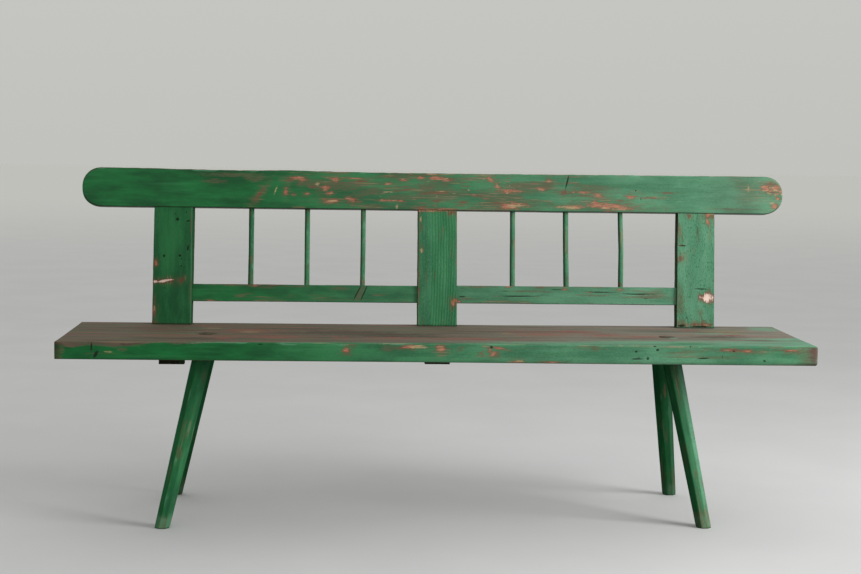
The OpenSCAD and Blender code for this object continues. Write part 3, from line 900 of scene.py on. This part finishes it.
def seat_wear_and_light(piece, place):
    """The seat's marks, a scatter of small wear, bare wood, darkening, and fading with a painted sheen.
    """
    local = place.back(vertices_mm(piece))
    normals = normals_of(piece)
    x, y, deep = local[:, 0], local[:, 1], local[:, 2]
    top = normals[:, 2] > 0.35
    front = (normals[:, 1] < -0.5) & (y < 12)
    flat = np.stack([x, deep, y], 1)
    wear = Wear(local)
    wear.stamp(FRONT_MARKS, flat, front, 70)
    wear.stamp(TOP_MARKS, local, top & (y > 6), 71)
    # The worn strip of lighter paint along the front arris
    strip = np.clip(1 - np.abs(y - 2) / 12, 0, 1) * np.clip(1 - deep / 8, 0, 1) * smooth(x, -820, -600)
    wear.scatter("pale", strip, (60, 6, 5), 0.5, 72)
    wear.scatter("cream", strip * 0.9, (34, 4.4, 4.4), 0.09, 73)
    wear.scatter("haze", front * (0.2 + 0.45 * smooth(x, -200, 600)), (110, 30, 9), 0.22, 74)
    wear.scatter("dark", 0.7 * (front & (x > 380)), (22, 4, 2.6), 0.012, 79)
    ends = np.abs(normals[:, 0]) > 0.5
    wear.scatter("haze", 1.0 * ends, (8, 40, 14), 0.6, 76)
    # Bare wood from behind the strip, which is wide at the right, to the rear edge. It spills over
    # the arris at the left, and shows again on the front face's right end
    edge_y = np.interp(x, [-887, -620, -400, 0, 269, 464, 658, 760, 868],
                       [-6, -4, 10, 24, 40, 60, 80, 96, 150])
    wander = 7 * noise(local, (130, 900, 99), 78) + 0.3 * edge_y * noise(local, (160, 22, 99), 80)
    wear["bare"][:] = np.where(deep < 4, np.clip((y - edge_y - wander) / 18, -1, 1), -1)
    spill = 7 * smooth(-x, 480, 800) * (1 + noise(local, (50, 900, 900), 81))
    wear["bare"][:] = np.where(front & (deep > 1), np.clip((spill - deep) / 4, -1, 1), wear["bare"])
    end_worn = (x - 848 + 7 * noise(local, (60, 900, 5), 82)) / 14
    wear.raise_to("bare", np.where(front & (deep > 3), end_worn, -1))
    below = normals[:, 2] < -0.5
    hidden = below | ((np.abs(normals[:, 2]) < 0.5) & (y > 30) & (y < SEAT_DEPTH - 30) & ~ends)
    wear["bare"][hidden] = 1
    wear.scatter("brown", 1.0 * hidden, (240, 24, 14), 0.75, 77)
    # Lighter towards the right, on the front face by its own curve: faded paint and a painted sheen of
    # the window light
    front_fade_and_sheen = np.interp(x, [-600, -470, -200, 0, 300, 450, 700, 869],
                             [0.03, 0.06, 0.3, 0.47, 0.75, 0.85, 0.7, 0.62])
    wear["bleach"][:] = np.where(front, front_fade_and_sheen, fade_and_sheen_at(x))
    # Darker towards the front face's lower edge, at the left end and on the hidden faces
    wear.raise_to("grime_and_shade", front * smooth(deep, 36, 44) * (0.4 + 0.3 * smooth(x, 780, 850)))
    wear.raise_to("grime_and_shade", (front | ends) * smooth(-x, 868, 884) * 0.6)
    wear.raise_to("grime_and_shade", 0.75 * hidden)
    wear.store(piece, 500)


# ---------------------------------------------------------------- posts

POST_MARKS = {
    "post_left": {
        "white": [(-31, 106, 17, 1.8, 3), (-14, 110, 14, 2, 6), (-43, 106, 7.5, 3)],
        "red": [(-20, 108, 27, 5.5, 4), (20, 110, 6, 4.5), (-47, 4, 5, 3)],
        "brown": [(-46, 40, 5, 25), (-46, 67, 4, 15), (43, 248, 2, 40), (43, 85, 2, 35)],
        "orange": [(-45, 35, 4, 10), (-43, 153, 4, 7.5)],
        "cream": [(-44, 40, 2, 7.5)],
        "dark": [
            (-23, 170, 3, 3), (16, 171, 3.5, 3), (9, 262, 4, 4, 45), (35, 258, 4.5, 2, 20),
            (5, 275, 1, 5.5, 20),
        ],
    },
    "post_centre": {
        "orange": [(-12, 291, 46, 2.2), (44, 65, 6, 6), (40, 59, 5, 7.5, 30)],
        "cream": [(-18, 291, 25, 1), (-43, 270, 2.5, 6), (-41, 191, 3, 5)],
        "red": [(36, 287, 9, 5.5), (-47, 91, 1.5, 35)],
        "brown": [
            (-45, 266, 3.5, 10), (-42, 249, 3.5, 10), (-40, 197, 3.5, 10), (38, 56, 7.5, 12),
            (-47, 179, 1.5, 99), (46, 192, 1, 74),
        ],
    },
    "post_right": {
        "dark": [
            (-34, 210, 14, 1), (4, 247, 1, 15), (13, 100, 20, 1.2, -2), (12, 4, 26, 2), (-36, 6, 10, 3),
            (-22, 26, 1, 12, 20), (-12, 18, 1, 10),
        ],
        "orange": [(-41, 211, 5, 1), (32, 289, 9, 4), (31, 271, 5, 7.5, 20), (29, 8, 6, 2.5)],
        "red": [(-38, 177, 7, 7), (14, 79, 5, 5), (34, 286, 11, 9), (-18, 286, 5, 4), (11, 9, 34, 4)],
        "white": [(31, 77, 14, 11)],
        "brown": [
            (28, 79, 20, 10, 5), (13, 36, 6, 15), (-47, 270, 4, 22), (-40, 71, 11, 35), (-39, 13, 12, 9),
            (19, 12, 14, 8), (34, 95, 6, 7.5),
        ],
        "cream": [(39, 293, 7.5, 3)],
    },
}

# Edges of each post from its CAD centre, as (low at the top, low at the seat, high at the top,
# high at the seat), and how far its face is cut back along its right arris at the top and the seat
POST_SHAPES = {
    "post_left": (-48.2, -50.8, 50.4, 48.2, 3.4, 1.0),
    "post_centre": (-50.0, -50.2, 48.4, 50.6, 0.8, 0.8),
    "post_right": (-46.8, -48.8, 48.8, 48.8, 0.6, 0.6),
}


RIB_GAP = 6.8      # between two ribs of hard grain


def grain_ribs(local, seed):
    """Ribs of hard grain that stand up through the paint, as an amount from 0 to 1."""
    wave = local[:, 1] / RIB_GAP + 0.16 * noise(local, (34, 12, 90), seed + 3)
    wave = wave + 0.35 * noise(on_line(local[:, 0]), 90, seed) + 0.3 * noise(local, (120, 20, 90), seed)
    return (0.5 + 0.5 * np.cos(2 * math.pi * wave)) ** 2.2


def post_shaft(node, place, top):
    low_top, low_seat, high_top, high_seat, cut_top, cut_seat = POST_SHAPES[node]
    along = stations(0.0, top, STEP)
    t = along / top
    line = on_line(along)
    low = low_seat + (low_top - low_seat) * t
    low = low + 0.3 * noise(line, 70, len(node)) + 0.2 * noise(line, 16, 1)
    high = high_seat + (high_top - high_seat) * t
    high = high + 0.3 * noise(line, 80, 2) + 0.2 * noise(line, 18, 3)
    gap = 1.0 if node == "post_centre" else 2.2
    piece = board(f"worn_{node}", node, place, along, low, high, POST_THICK, 1.6,
                  even_rows((high - low).max(), gap, 1.6), wall_gap=2.6)
    local = place.back(vertices_mm(piece))
    # The face is cut back along its right arris, and the foot is level with the seat
    height, across, depth = local[:, 0], local[:, 1], local[:, 2]
    back = cut_seat + (cut_top - cut_seat) * height / top
    across = across - back * (1 - depth / POST_THICK) * smooth(across, 30, 48)
    height = height + depth * math.tan(RAKE) * np.clip(1 - height / 40, 0, 1)
    set_vertices(piece, place.out(np.stack([height, across, depth], 1)))
    return piece


def post_tenon(node, place, stub_low, shift):
    """The narrower tenon that passes down through the seat, with its end cut level."""
    depth = (POST_THICK - TENON_THICK) / 2
    inner = Place(place.origin + INTO * depth, *place.axes)
    end = -(SEAT_TOP - stub_low) / math.cos(RAKE)
    along = stations(end, -1.0, 4, 2.0)
    drift = shift * np.clip(-along / 60, 0, 1)
    piece = board(f"{node}_tenon", node, inner, along, drift - TENON_WIDTH / 2,
                  drift + TENON_WIDTH / 2, TENON_THICK, 1.5, even_rows(TENON_WIDTH, 4, 1.5))
    local = inner.back(vertices_mm(piece))
    local[:, 0] += local[:, 2] * math.tan(RAKE) * (local[:, 0] < end + 12)
    set_vertices(piece, inner.out(local))
    return piece


def shaft_wear_and_light(node, piece, place, top, seed):
    """A shaft's marks, a scatter of small wear, the painted shade and grime on its sides, the painted
    shade in its corners, fading with a painted sheen, and its dents and grain.
    """
    local = place.back(vertices_mm(piece))
    normals = normals_of(piece)
    height, across, depth = local[:, 0], local[:, 1], local[:, 2]
    facing, sideways = normals @ INTO, normals[:, 0]
    face = (facing < -0.5).astype(float)
    wear = Wear(local)
    # Lighter towards the right: faded paint and a painted sheen of the window light
    wear["bleach"][:] = fade_and_sheen_at(place.origin[0] + across) + 0.2
    edge = smooth(np.abs(across), 40, 47)
    flat = np.stack([across, height, depth], 1)
    wear.stamp(POST_MARKS[node], flat, facing < 0.2, seed + 5)
    haze = {"post_left": 0.0, "post_centre": 0.5, "post_right": 0.35}[node]
    wear.scatter("haze", haze + 0.4 * edge, (60, 7, 7), 0.25, seed + 6)
    wear.scatter("brown", 0.2 * haze + 0.7 * edge, (36, 6, 7), 0.08, seed + 7)
    wear.scatter("orange", 0.05 + 0.6 * edge * face, (20, 4, 6), 0.025, seed + 8)
    if node == "post_right":
        wear.scatter("pale", 0.5 * face, (22, 9, 7), 0.2, seed + 9)
        wear.scatter("brown", 0.5 * face, (9, 5, 7), 0.03, seed + 14)
        wear.scatter("dark", 0.5 * face, (8, 2.6, 5), 0.012, seed + 15)
    if node == "post_left":
        speckled = 0.6 + 0.4 * smooth(across, -10, 20) * smooth(height, 110, 150)
        wear.scatter("dark", face * speckled, (9, 5, 5), 0.02, seed + 9)
        # A thin painted highlight along the face's right arris
        wear.raise_to("pale", 1.2 * np.exp(-((across - 45) / 1.6) ** 2) * face - 0.55)
    ribs = np.zeros(len(local))
    if node == "post_centre":
        ribs = grain_ribs(local, seed + 10) * smooth(across, -26, -8) * face
        # The rib crests are painted lighter as a highlight, besides standing up
        wear["crest"][:] = ribs
    # Painted shade, with some grime, on both sides; painted shade in the corner over the seat and under
    # the rail. The left post is also darkened a little all over
    foot = (1 - smooth(height, 1, 6)) * 0.8
    head = smooth(height, top - 3.0, top - 0.5) * 0.6
    right_side, everywhere = (0.6, 0.2) if node == "post_left" else (0.15, 0.0)
    sides = 0.85 * smooth(-sideways, 0.3, 0.8) + right_side * smooth(sideways, 0.3, 0.8)
    wear.raise_to("grime_and_shade", np.maximum(foot, head) * (1 - 0.4 * face * (ribs > 0.5)))
    wear.raise_to("grime_and_shade", np.maximum(sides, everywhere))
    swell = 0.2 * noise(local, (80, 40, 30), seed + 11)
    swell = swell + 0.14 * noise(local, (260, 5.2, 12), seed + 12)
    sink = 0.3 * wear.shown("cream", 0.1) + 0.3 * wear.shown("orange")
    sink += 0.8 * wear.shown("dark") + 0.6 * wear.shown("white", 0.2) - 0.7 * ribs
    deep = np.where(np.abs(sideways) > 0.6, 0.1, sink + 0.8 - swell)
    sink_surface(piece, np.clip(deep, 0.02, 3))
    wear.store(piece, seed * 10)


def post(node, seed, stub_low, shift):
    """A flat post that stands on the seat, and its tenon, darkened nearly black below the seat."""
    low_corner, high_corner = box_mm(node)
    place = Place(BACK_FOOT + ACROSS * (low_corner[0] + high_corner[0]) / 2, UP, ACROSS, INTO)
    top = RAIL_RISE + 1.0      # just inside the rail
    shaft = post_shaft(node, place, top)
    shaft_wear_and_light(node, shaft, place, top, seed)
    finish_piece(shaft, POST_PAINT)
    tenon = post_tenon(node, place, stub_low, shift)
    local = place.back(vertices_mm(tenon))
    wear = Wear(local)
    # Lighter towards the right: faded paint and a painted sheen of the window light
    wear["bleach"][:] = fade_and_sheen_at(place.origin[0] + local[:, 1]) + 0.2
    # The tenon is darkened all over
    wear["grime_and_shade"][:] = 1.0
    wear.store(tenon, seed * 10)
    finish_piece(tenon, POST_PAINT)


# ---------------------------------------------------------------- lower rails and spindles

LOW_RAIL_MARKS = {
    "lower_rail_left": {
        "dark": [(-198, 24, 24, 1, 62), (-181, 24, 24, 1, 66)],
        "brown": [(-190, 24, 22, 6.5, 64), (-342, 39, 20, 2.5), (-241, 35, 25, 3.5)],
        "red": [(-464, 43, 22, 3), (-412, 43, 26, 2), (-520, 43, 20, 2)],
        "orange": [(-454, 40, 6, 2.5), (-565, 2, 12, 1.5)],
    },
    "lower_rail_right": {
        "orange": [(183, 44, 6, 3), (329, 38, 5, 2.5), (470, 38, 7.5, 2.5), (59, 3, 7.5, 4)],
        "brown": [(239, 32, 50, 2.5), (393, 23, 40, 2.5), (547, 20, 37, 3.5)],
        "red": [(112, 42, 20, 1.5), (265, 42, 12, 1.5)],
        "dark": [(418, 31, 45, 0.5), (521, 27, 45, 0.5, 1), (214, 19, 55, 0.5)],
    },
}


def lower_rail(node, seed, top_trim):
    """A thin board between two posts, set back from their faces."""
    low_corner, high_corner = box_mm(node)
    inset = 22.0       # the CAD board's tenons reach this far into the posts
    start, stop = low_corner[0] + inset, high_corner[0] - inset
    height = (high_corner[2] - low_corner[2] - LOW_THICK * math.sin(RAKE)) / math.cos(RAKE) + top_trim
    front = (POST_THICK - LOW_THICK) / 2
    rise = rise_of(low_corner[2], front + LOW_THICK)
    place = Place(BACK_FOOT + UP * rise + INTO * front, ACROSS, UP, INTO)
    along = stations(start, stop, STEP)
    line = on_line(along)
    low = 0.2 * noise(line, 90, seed)
    high = height + 0.25 * noise(line, 70, seed + 1) + 0.15 * noise(line, 17, seed + 2)
    piece = board(f"worn_{node}", node, place, along, low, high, LOW_THICK, 1.6,
                  even_rows(height, 2.2, 1.6))
    local = place.back(vertices_mm(piece))
    normals = normals_of(piece)
    facing = normals @ INTO
    face = (facing < -0.5).astype(float)
    edge = face * smooth(np.abs(local[:, 1] - height / 2), height / 2 - 6, height / 2)
    wear = Wear(local)
    wear.stamp(LOW_RAIL_MARKS[node], local, facing < 0.2, seed + 3)
    wear.scatter("haze", 0.5 + 0.4 * edge + 0.2 * (local[:, 0] > 0), (70, 6, 7), 0.3, seed + 4)
    wear.scatter("red", 0.1 + 0.8 * edge, (26, 3, 6), 0.03, seed + 6)
    wear.scatter("dark", 0.85 * face * (local[:, 0] > 0), (60, 2.6, 5), 0.03, seed + 7)
    # Lighter towards the right: faded paint and a painted sheen of the window light
    wear["bleach"][:] = fade_and_sheen_at(local[:, 0]) * 1.1 + 0.06 + 0.14 * (local[:, 0] > 0)
    # Painted shade on the lower edge; the upper edge is darker too
    wear.raise_to("grime_and_shade", 0.9 * smooth(-(normals @ UP), 0.1, 0.7))
    wear.raise_to("grime_and_shade", 0.35 * smooth(normals @ UP, 0.3, 0.8))
    swell = 0.15 * noise(local, (200, 5, 9), seed + 8) + 0.2 * noise(local, (90, 30, 30), seed + 9)
    sink = 0.3 * wear.shown("orange") + 0.9 * wear.shown("dark")
    sink_surface(piece, np.clip(sink + (0.3 - swell) * np.abs(facing), 0.02, 3))
    wear.store(piece, seed * 7)
    finish_piece(piece, RAIL_PAINT)


SPINDLE_HIDDEN = 14.0      # of each end, inside a rail, isn't modelled

# Each spindle's centre at its foot, middle and head from its CAD centre, and its width
SPINDLES = {
    "spindle_1": (-1.1, 0.0, -0.1, 13.3),
    "spindle_2": (0.1, 0.3, 0.3, 13.0),
    "spindle_3": (0.1, 1.2, 1.4, 12.8),
    "spindle_4": (2.1, 2.0, 2.0, 13.4),
    "spindle_5": (0.7, -1.1, -2.4, 13.8),
    "spindle_6": (0.4, 1.4, -1.3, 12.9),
}


def spindle(node, seed):
    """An uneven whittled rod between the rails, with a faint bow."""
    low_corner, high_corner = box_mm(node)
    centre = (low_corner[0] + high_corner[0]) / 2
    foot = (low_corner[2] - SEAT_TOP) / math.cos(RAKE) + SPINDLE_HIDDEN
    head = (high_corner[2] - SEAT_TOP) / math.cos(RAKE) - SPINDLE_HIDDEN
    foot_x, middle_x, head_x, width = SPINDLES[node]
    t = np.linspace(0, 1, 70)
    line = on_line(t * (head - foot))
    x = centre + np.interp(t, [0, 0.5, 1], [foot_x, middle_x, head_x]) + 0.25 * noise(line, 60, seed)
    radii = width / 2 + 0.1 + 0.25 * noise(line, 45, seed + 1) + 0.1 * noise(line, 12, seed + 2)
    facet = 2 * math.pi / 9
    angles = angles_of(27)
    part = ((angles + seed) % facet) / facet - 0.5
    flat = 0.4 + 0.6 * math.cos(facet / 2) / np.cos(part * facet)
    rings = []
    for i in range(len(t)):
        middle = BACK_FOOT + ACROSS * x[i] + UP * (foot + (head - foot) * t[i]) + INTO * (POST_THICK / 2)
        rings.append(middle + (radii[i] * flat)[:, None]
                     * (np.outer(np.cos(angles), ACROSS) + np.outer(np.sin(angles), INTO)))
    piece = tube(f"whittled_{node}", node, rings)
    rel = vertices_mm(piece) - BACK_FOOT
    wear = Wear(np.stack([rel @ UP, rel @ ACROSS - centre, rel @ INTO - POST_THICK / 2], 1))
    everywhere = np.ones(len(rel))
    wear.scatter("brown", 0.7 * everywhere, (24, 8, 8), 0.2, seed + 3)
    wear.scatter("pale", 0.8 * everywhere, (18, 5, 5), 0.25, seed + 4)
    near_rails = 1 - smooth(np.minimum(wear.local[:, 0] - foot, head - wear.local[:, 0]), 14, 34)
    wear.scatter("red", 0.55 + 0.7 * near_rails, (14, 5, 5), 0.08, seed + 5)
    wear.scatter("haze", 0.6 * everywhere, (40, 8, 8), 0.4, seed + 6)
    # Lighter towards the right: faded paint and a painted sheen; painted shade on the sides that face
    # left
    wear["bleach"][:] = 0.5 + 0.5 * fade_and_sheen_at(centre)
    wear["grime_and_shade"][:] = 0.75 * smooth(-normals_of(piece)[:, 0], 0.2, 0.8)
    wear.store(piece, seed * 13)
    finish_piece(piece, LEG_PAINT)


# ---------------------------------------------------------------- legs, wedges, keys, pegs

LEG_FACETS = 8
PER_FACET = np.array([0.05, 0.2, 0.5, 0.8, 0.95])     # vertices along a facet, as shares of it


def leg_rings(node, shoulder, foot_width, top_width, seed):
    """Sections of a tapered eight-sided leg, each facet cut a little unevenly, and of its tenon."""
    foot, slope, top = LEGS[node]
    jitter = np.random.default_rng(seed).uniform(-0.05, 0.05, LEG_FACETS)
    rings = []
    for z in np.concatenate([[0, 1.2, 3, 6], np.arange(10, shoulder - 3, 5.0), [shoulder]]):
        width = foot_width + (top_width - foot_width) * z / shoulder
        at = np.array([[z, 40.0 * j, seed] for j in range(LEG_FACETS)], float)
        turn = 0.035 * noise(at, (130, 30, 30), seed) + jitter
        reach = (1 + 0.012 * noise(at, (60, 30, 30), seed + 1)) * (1 - 0.05 * max(0.0, 1 - z / 6) ** 2)
        angle = 2 * math.pi * (np.arange(LEG_FACETS) + 0.5) / LEG_FACETS + turn
        radius = width / 2 / math.cos(math.pi / LEG_FACETS) * reach
        corners = np.stack([np.cos(angle) * radius, np.sin(angle) * radius, 0 * radius], 1)
        across = np.roll(corners, -1, 0) - corners
        ring = corners[:, None] + across[:, None] * PER_FACET[:, None]
        rings.append(foot + slope * z + ring.reshape(-1, 3))
    angle = 2 * math.pi * (np.arange(LEG_FACETS)[:, None] + 0.5 + PER_FACET).ravel() / LEG_FACETS
    circle = LEG_TENON_R * np.stack([np.cos(angle), np.sin(angle), 0 * angle], 1)
    for z in np.linspace(shoulder + 0.1, top - 0.15, 8):
        rings.append(foot + slope * z + circle)
    return rings


def leg(node, seed, foot_width, top_width):
    """A whittled leg, green to its shoulder, with a bare tenon."""
    foot, slope, _ = LEGS[node]
    shoulder = seat_under(foot[0] + slope[0] * SEAT_LOW[2]) - 0.2
    rings = leg_rings(node, shoulder, foot_width, top_width, seed)
    piece = tube(f"whittled_{node}", node, rings)
    points = vertices_mm(piece)
    z = points[:, 2]
    offset = points - (foot + slope * z[:, None])
    wear = Wear(np.stack([z, offset[:, 0], offset[:, 1]], 1))
    low_end = 1 - smooth(z, 10, 90)
    width = foot_width + (top_width - foot_width) * z / shoulder
    ridge = smooth(np.hypot(offset[:, 0], offset[:, 1]) / width * 2, 1.02, 1.07)
    wear.scatter("haze", 0.5 + 0.5 * low_end, (60, 12, 12), 0.36, seed + 2)
    wear.scatter("brown", 0.05 + 0.3 * ridge + 0.65 * low_end, (46, 9, 9), 0.2, seed + 2)
    wear.scatter("pale", 0.3 + 0.6 * ridge, (40, 5, 5), 0.12, seed + 3)
    wear.scatter("red", 0.1 + 0.5 * low_end, (16, 5, 5), 0.05, seed + 4)
    rear = 1.0 if "rear" in node else 0.0
    # Facets that face the window lamp are painted lighter, a painted highlight, and the paint is lighter
    # towards the right end, faded and with a painted sheen; the rear legs get less of it, a painted shade
    lit_facets = smooth(normals_of(piece)[:, 0], -0.3, 0.6)
    wear["bleach"][:] = (1.2 * fade_and_sheen_at(points[:, 0]) + 0.14) * lit_facets + 0.18
    wear["bleach"][:] *= 1 - 0.6 * rear
    scuffed = 1 - smooth(z, 6, 46)
    wear.raise_to("pale", 2.2 * scuffed * (0.65 + 0.5 * noise(points, 9, seed + 6)) - 0.5)
    shade = 0.35 if node == "leg_front_left" else 0.8
    on_tenon = z > shoulder + 2
    wear["bare"][:] = np.where(on_tenon, 1, -1)
    wear["brown"][on_tenon] = 0.6
    worn_foot = (1 - smooth(z, 18, 60)) * (0.2 + 0.8 * smooth(foot[0], -100, 100)) * (1 - 0.6 * rear)
    wear.raise_to("haze", 1.9 * worn_foot + 0.6 * noise(points, (9, 9, 16), seed + 7) - 0.9)
    wear.raise_to("brown", 0.9 * worn_foot + 0.6 * noise(points, (7, 7, 12), seed + 8) - 0.9)
    # Painted shade: darker on facets that face left, all over on the rear legs, towards the top under the
    # seat and at the sole; the tenon is kept clear
    wear.raise_to("grime_and_shade", np.maximum(shade * smooth(-normals_of(piece)[:, 0], 0.1, 0.8), 0.55 * rear))
    wear.raise_to("grime_and_shade", 0.75 * smooth(z, shoulder - 70, shoulder))
    wear["grime_and_shade"][on_tenon] = 0
    wear.raise_to("grime_and_shade", 0.7 * (z < 1.5))
    wear.store(piece, seed * 17)
    finish_piece(piece, LEG_PAINT)


def block(name, node, corners, seed, ease=0.8):
    """A small closed bar from eight corners, four at each end, with eased arrises and rough faces."""
    bm = bmesh.new()
    vs = [bm.verts.new(Vector(c) * MM) for c in corners]
    for f in ((0, 1, 2, 3), (7, 6, 5, 4), (0, 4, 5, 1), (1, 5, 6, 2), (2, 6, 7, 3), (3, 7, 4, 0)):
        bm.faces.new([vs[k] for k in f])
    bmesh.ops.recalc_face_normals(bm, faces=bm.faces)
    bmesh.ops.bevel(bm, geom=bm.edges[:], offset=ease * MM, segments=3, profile=0.5, affect="EDGES")
    bmesh.ops.subdivide_edges(bm, edges=[e for e in bm.edges if e.calc_length() > 6 * MM], cuts=4,
                              use_grid_fill=True)
    mesh = bpy.data.meshes.new(name)
    bm.to_mesh(mesh)
    bm.free()
    piece = in_scene(name, mesh)
    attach(piece, BODY)
    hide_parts(node)
    points = vertices_mm(piece)
    sink_surface(piece, 0.18 * noise(points, 7, seed) + 0.2)
    wear = Wear((points - points.mean(0))[:, [1, 0, 2]])
    wear.store(piece, seed * 11)
    finish_piece(piece, BARE_WOOD)


def key(node, seed):
    """The tapered bar that locks a post's tenon under the seat."""
    low, high = box_mm(node)
    top = seat_under((low[0] + high[0]) / 2) - 0.1
    thin_end = 11.0
    corners = []
    for y, bottom in ((low[1], high[2] - thin_end), (high[1], low[2])):
        corners += [[low[0], y, top], [high[0], y, top], [high[0], y, bottom], [low[0], y, bottom]]
    block(f"cut_{node}", node, corners, seed)


def wedge(node, leg_node, seed):
    """The strip that spreads a leg's tenon, flush with the end grain."""
    foot, slope, _ = LEGS[leg_node]
    corners = []
    for z, half in ((SEAT_TOP - 30, 1.0), (SEAT_TOP - 0.02, 2.9)):
        reach = LEG_TENON_R - 1.2
        for x, y in ((-half, -reach), (half, -reach), (half, reach), (-half, reach)):
            corners.append(foot + slope * z + [x, y, 0])
    block(f"cut_{node}", node, corners, seed, ease=0.4)


PEG_RADIUS = 4.4


def peg(node, seed):
    """A whittled peg whose domed head shows on the rail's rear face."""
    low, high = box_mm(node)
    middle = (low + high) / 2
    length = (high[1] - low[1]) / math.cos(RAKE) - 1.5
    angles = angles_of(18)
    circle = np.outer(np.cos(angles), ACROSS) + np.outer(np.sin(angles), UP)
    circle *= PEG_RADIUS * (1 + 0.04 * np.cos(5 * angles + seed))[:, None]
    shape = [(t, 1.0) for t in np.linspace(-0.5, 0.4, 6)] + [(0.46, 0.97), (0.49, 0.82), (0.51, 0.5)]
    piece = tube(f"whittled_{node}", node, [middle + INTO * (t * length) + circle * r for t, r in shape])
    wear = Wear((vertices_mm(piece) - middle)[:, [1, 0, 2]])
    wear.store(piece, seed * 19)
    finish_piece(piece, BARE_WOOD)


top_rail()
seat()
post("post_left", 100, 361.0, -1.8)
post("post_centre", 120, 365.0, 1.4)
post("post_right", 140, 372.0, 0.0)
lower_rail("lower_rail_left", 160, -0.9)
lower_rail("lower_rail_right", 180, 0.7)
for number, node in enumerate(SPINDLES):
    spindle(node, 200 + 10 * number)
leg("leg_front_left", 300, 35.6, 46.4)
leg("leg_front_right", 320, 34.6, 43.4)
leg("leg_rear_left", 340, 34.0, 46.0)
leg("leg_rear_right", 360, 33.6, 46.0)
for number, side in enumerate(("front_left", "front_right")):
    wedge(f"wedge_{side}", f"leg_{side}", 400 + number)
for number, side in enumerate(("left", "centre", "right")):
    key(f"post_key_{side}", 420 + number)
    peg(f"rail_peg_{side}", 430 + number)


# ---------------------------------------------------------------- floor, light and camera

FLOOR_REACH = 60.0                                                          # metres
FLOOR_TINTS = (0.585, 0.588, 0.585, 1), (0.605, 0.608, 0.603, 1)            # near the bench, mottled
FLOOR_FAR = (0.735, 0.735, 0.70, 1)
LAMP_SPOT = (2.25, -1.15, 0.0)     # where the lamp is brightest on the floor
HORIZON, ZENITH = (0.535, 0.535, 0.51, 1), (0.8, 0.8, 0.8, 1)


def floor():
    """A pale floor without an edge in sight, darker where the lamp would burn it out."""
    mesh = bpy.data.meshes.new("floor")
    far = FLOOR_REACH
    mesh.from_pydata([(-far, -far, 0), (far, -far, 0), (far, far, 0), (-far, far, 0)], [], [(0, 1, 2, 3)])
    piece = in_scene("floor", mesh)
    g = Graph(bpy.data.materials.new("pale_floor"))
    place = g.new("TexCoord", {})["Object"]
    mottle = g.new("TexNoise", {"Vector": place, "Scale": 2.2, "Detail": 6.0})["Fac"]

    def distance(point):
        return g.new("VectorMath", {0: place, 1: point}, operation="DISTANCE")["Value"]

    near = g.mix(g.ramp(mottle, 0.35, 0.65), *FLOOR_TINTS)
    colour = g.mix(g.ramp(distance((0, 0, 0)), 3.0, 24.0), near, FLOOR_FAR)
    colour = g.mix(g.ramp(distance(LAMP_SPOT), 0.1, 1.9, 0.55, 0.0), colour, (0, 0, 0, 1))
    g.surface(colour=colour, roughness=0.9, gloss=0.1)
    mesh.materials.append(g.owner)


def lamp(name, place, aim, size, power):
    """A rectangular lamp of so many watts, turned to what it lights."""
    data = bpy.data.lights.new(name, "AREA")
    data.shape = "RECTANGLE"
    data.size, data.size_y = size
    data.energy = power
    light = in_scene(name, data)
    light.location = place
    light.rotation_euler = (Vector(aim) - Vector(place)).to_track_quat("-Z", "Y").to_euler()


def surroundings():
    """A pale room: its light is lowest at the horizon, where it meets the floor without a line."""
    world = bpy.data.worlds.new("pale_room")
    g = Graph(world)
    direction = g.new("TexCoord", {})["Generated"]
    upward = g.new("SeparateXYZ", {0: direction})[2]
    upward = g.new("MapRange", {"Value": upward})["Result"]
    g.put(g.nodes["Background"].inputs["Color"], g.mix(upward, HORIZON, ZENITH))
    bpy.context.scene.world = world
    bpy.context.scene.view_settings.view_transform = "Standard"
    lamp("window", place=(2.8, -1.5, 1.7), aim=(0.3, 0.1, 0.55), size=(1.4, 1.3), power=83)


CAMERA_AWAY = 3.6325                   # metres in front of the bench
CAMERA_TURN = 3.777, 4.985, 0.862      # degrees to the right, down and anticlockwise
SENSOR_MM, LENS_MM = 36.0, 66.9


def camera():
    """Stands in front of the bench, a little left of its middle, at chest height."""
    place = Vector((-0.2781, cad_low[1] - CAMERA_AWAY, 0.9082))
    yaw, pitch, roll = [math.radians(turn) for turn in CAMERA_TURN]
    forward = Vector((math.sin(yaw) * math.cos(pitch), math.cos(yaw) * math.cos(pitch), -math.sin(pitch)))
    right = Vector((math.cos(yaw), -math.sin(yaw), 0))
    up = right.cross(forward)
    rolled_right = right * math.cos(roll) + up * math.sin(roll)
    rolled_up = up * math.cos(roll) - right * math.sin(roll)
    data = bpy.data.cameras.new("camera")
    data.sensor_width = SENSOR_MM
    data.lens = LENS_MM
    view = in_scene("camera", data)
    axes = Matrix((rolled_right, rolled_up, -forward)).transposed().to_4x4()
    view.matrix_world = Matrix.Translation(place) @ axes
    bpy.context.scene.camera = view


floor()
surroundings()
camera()
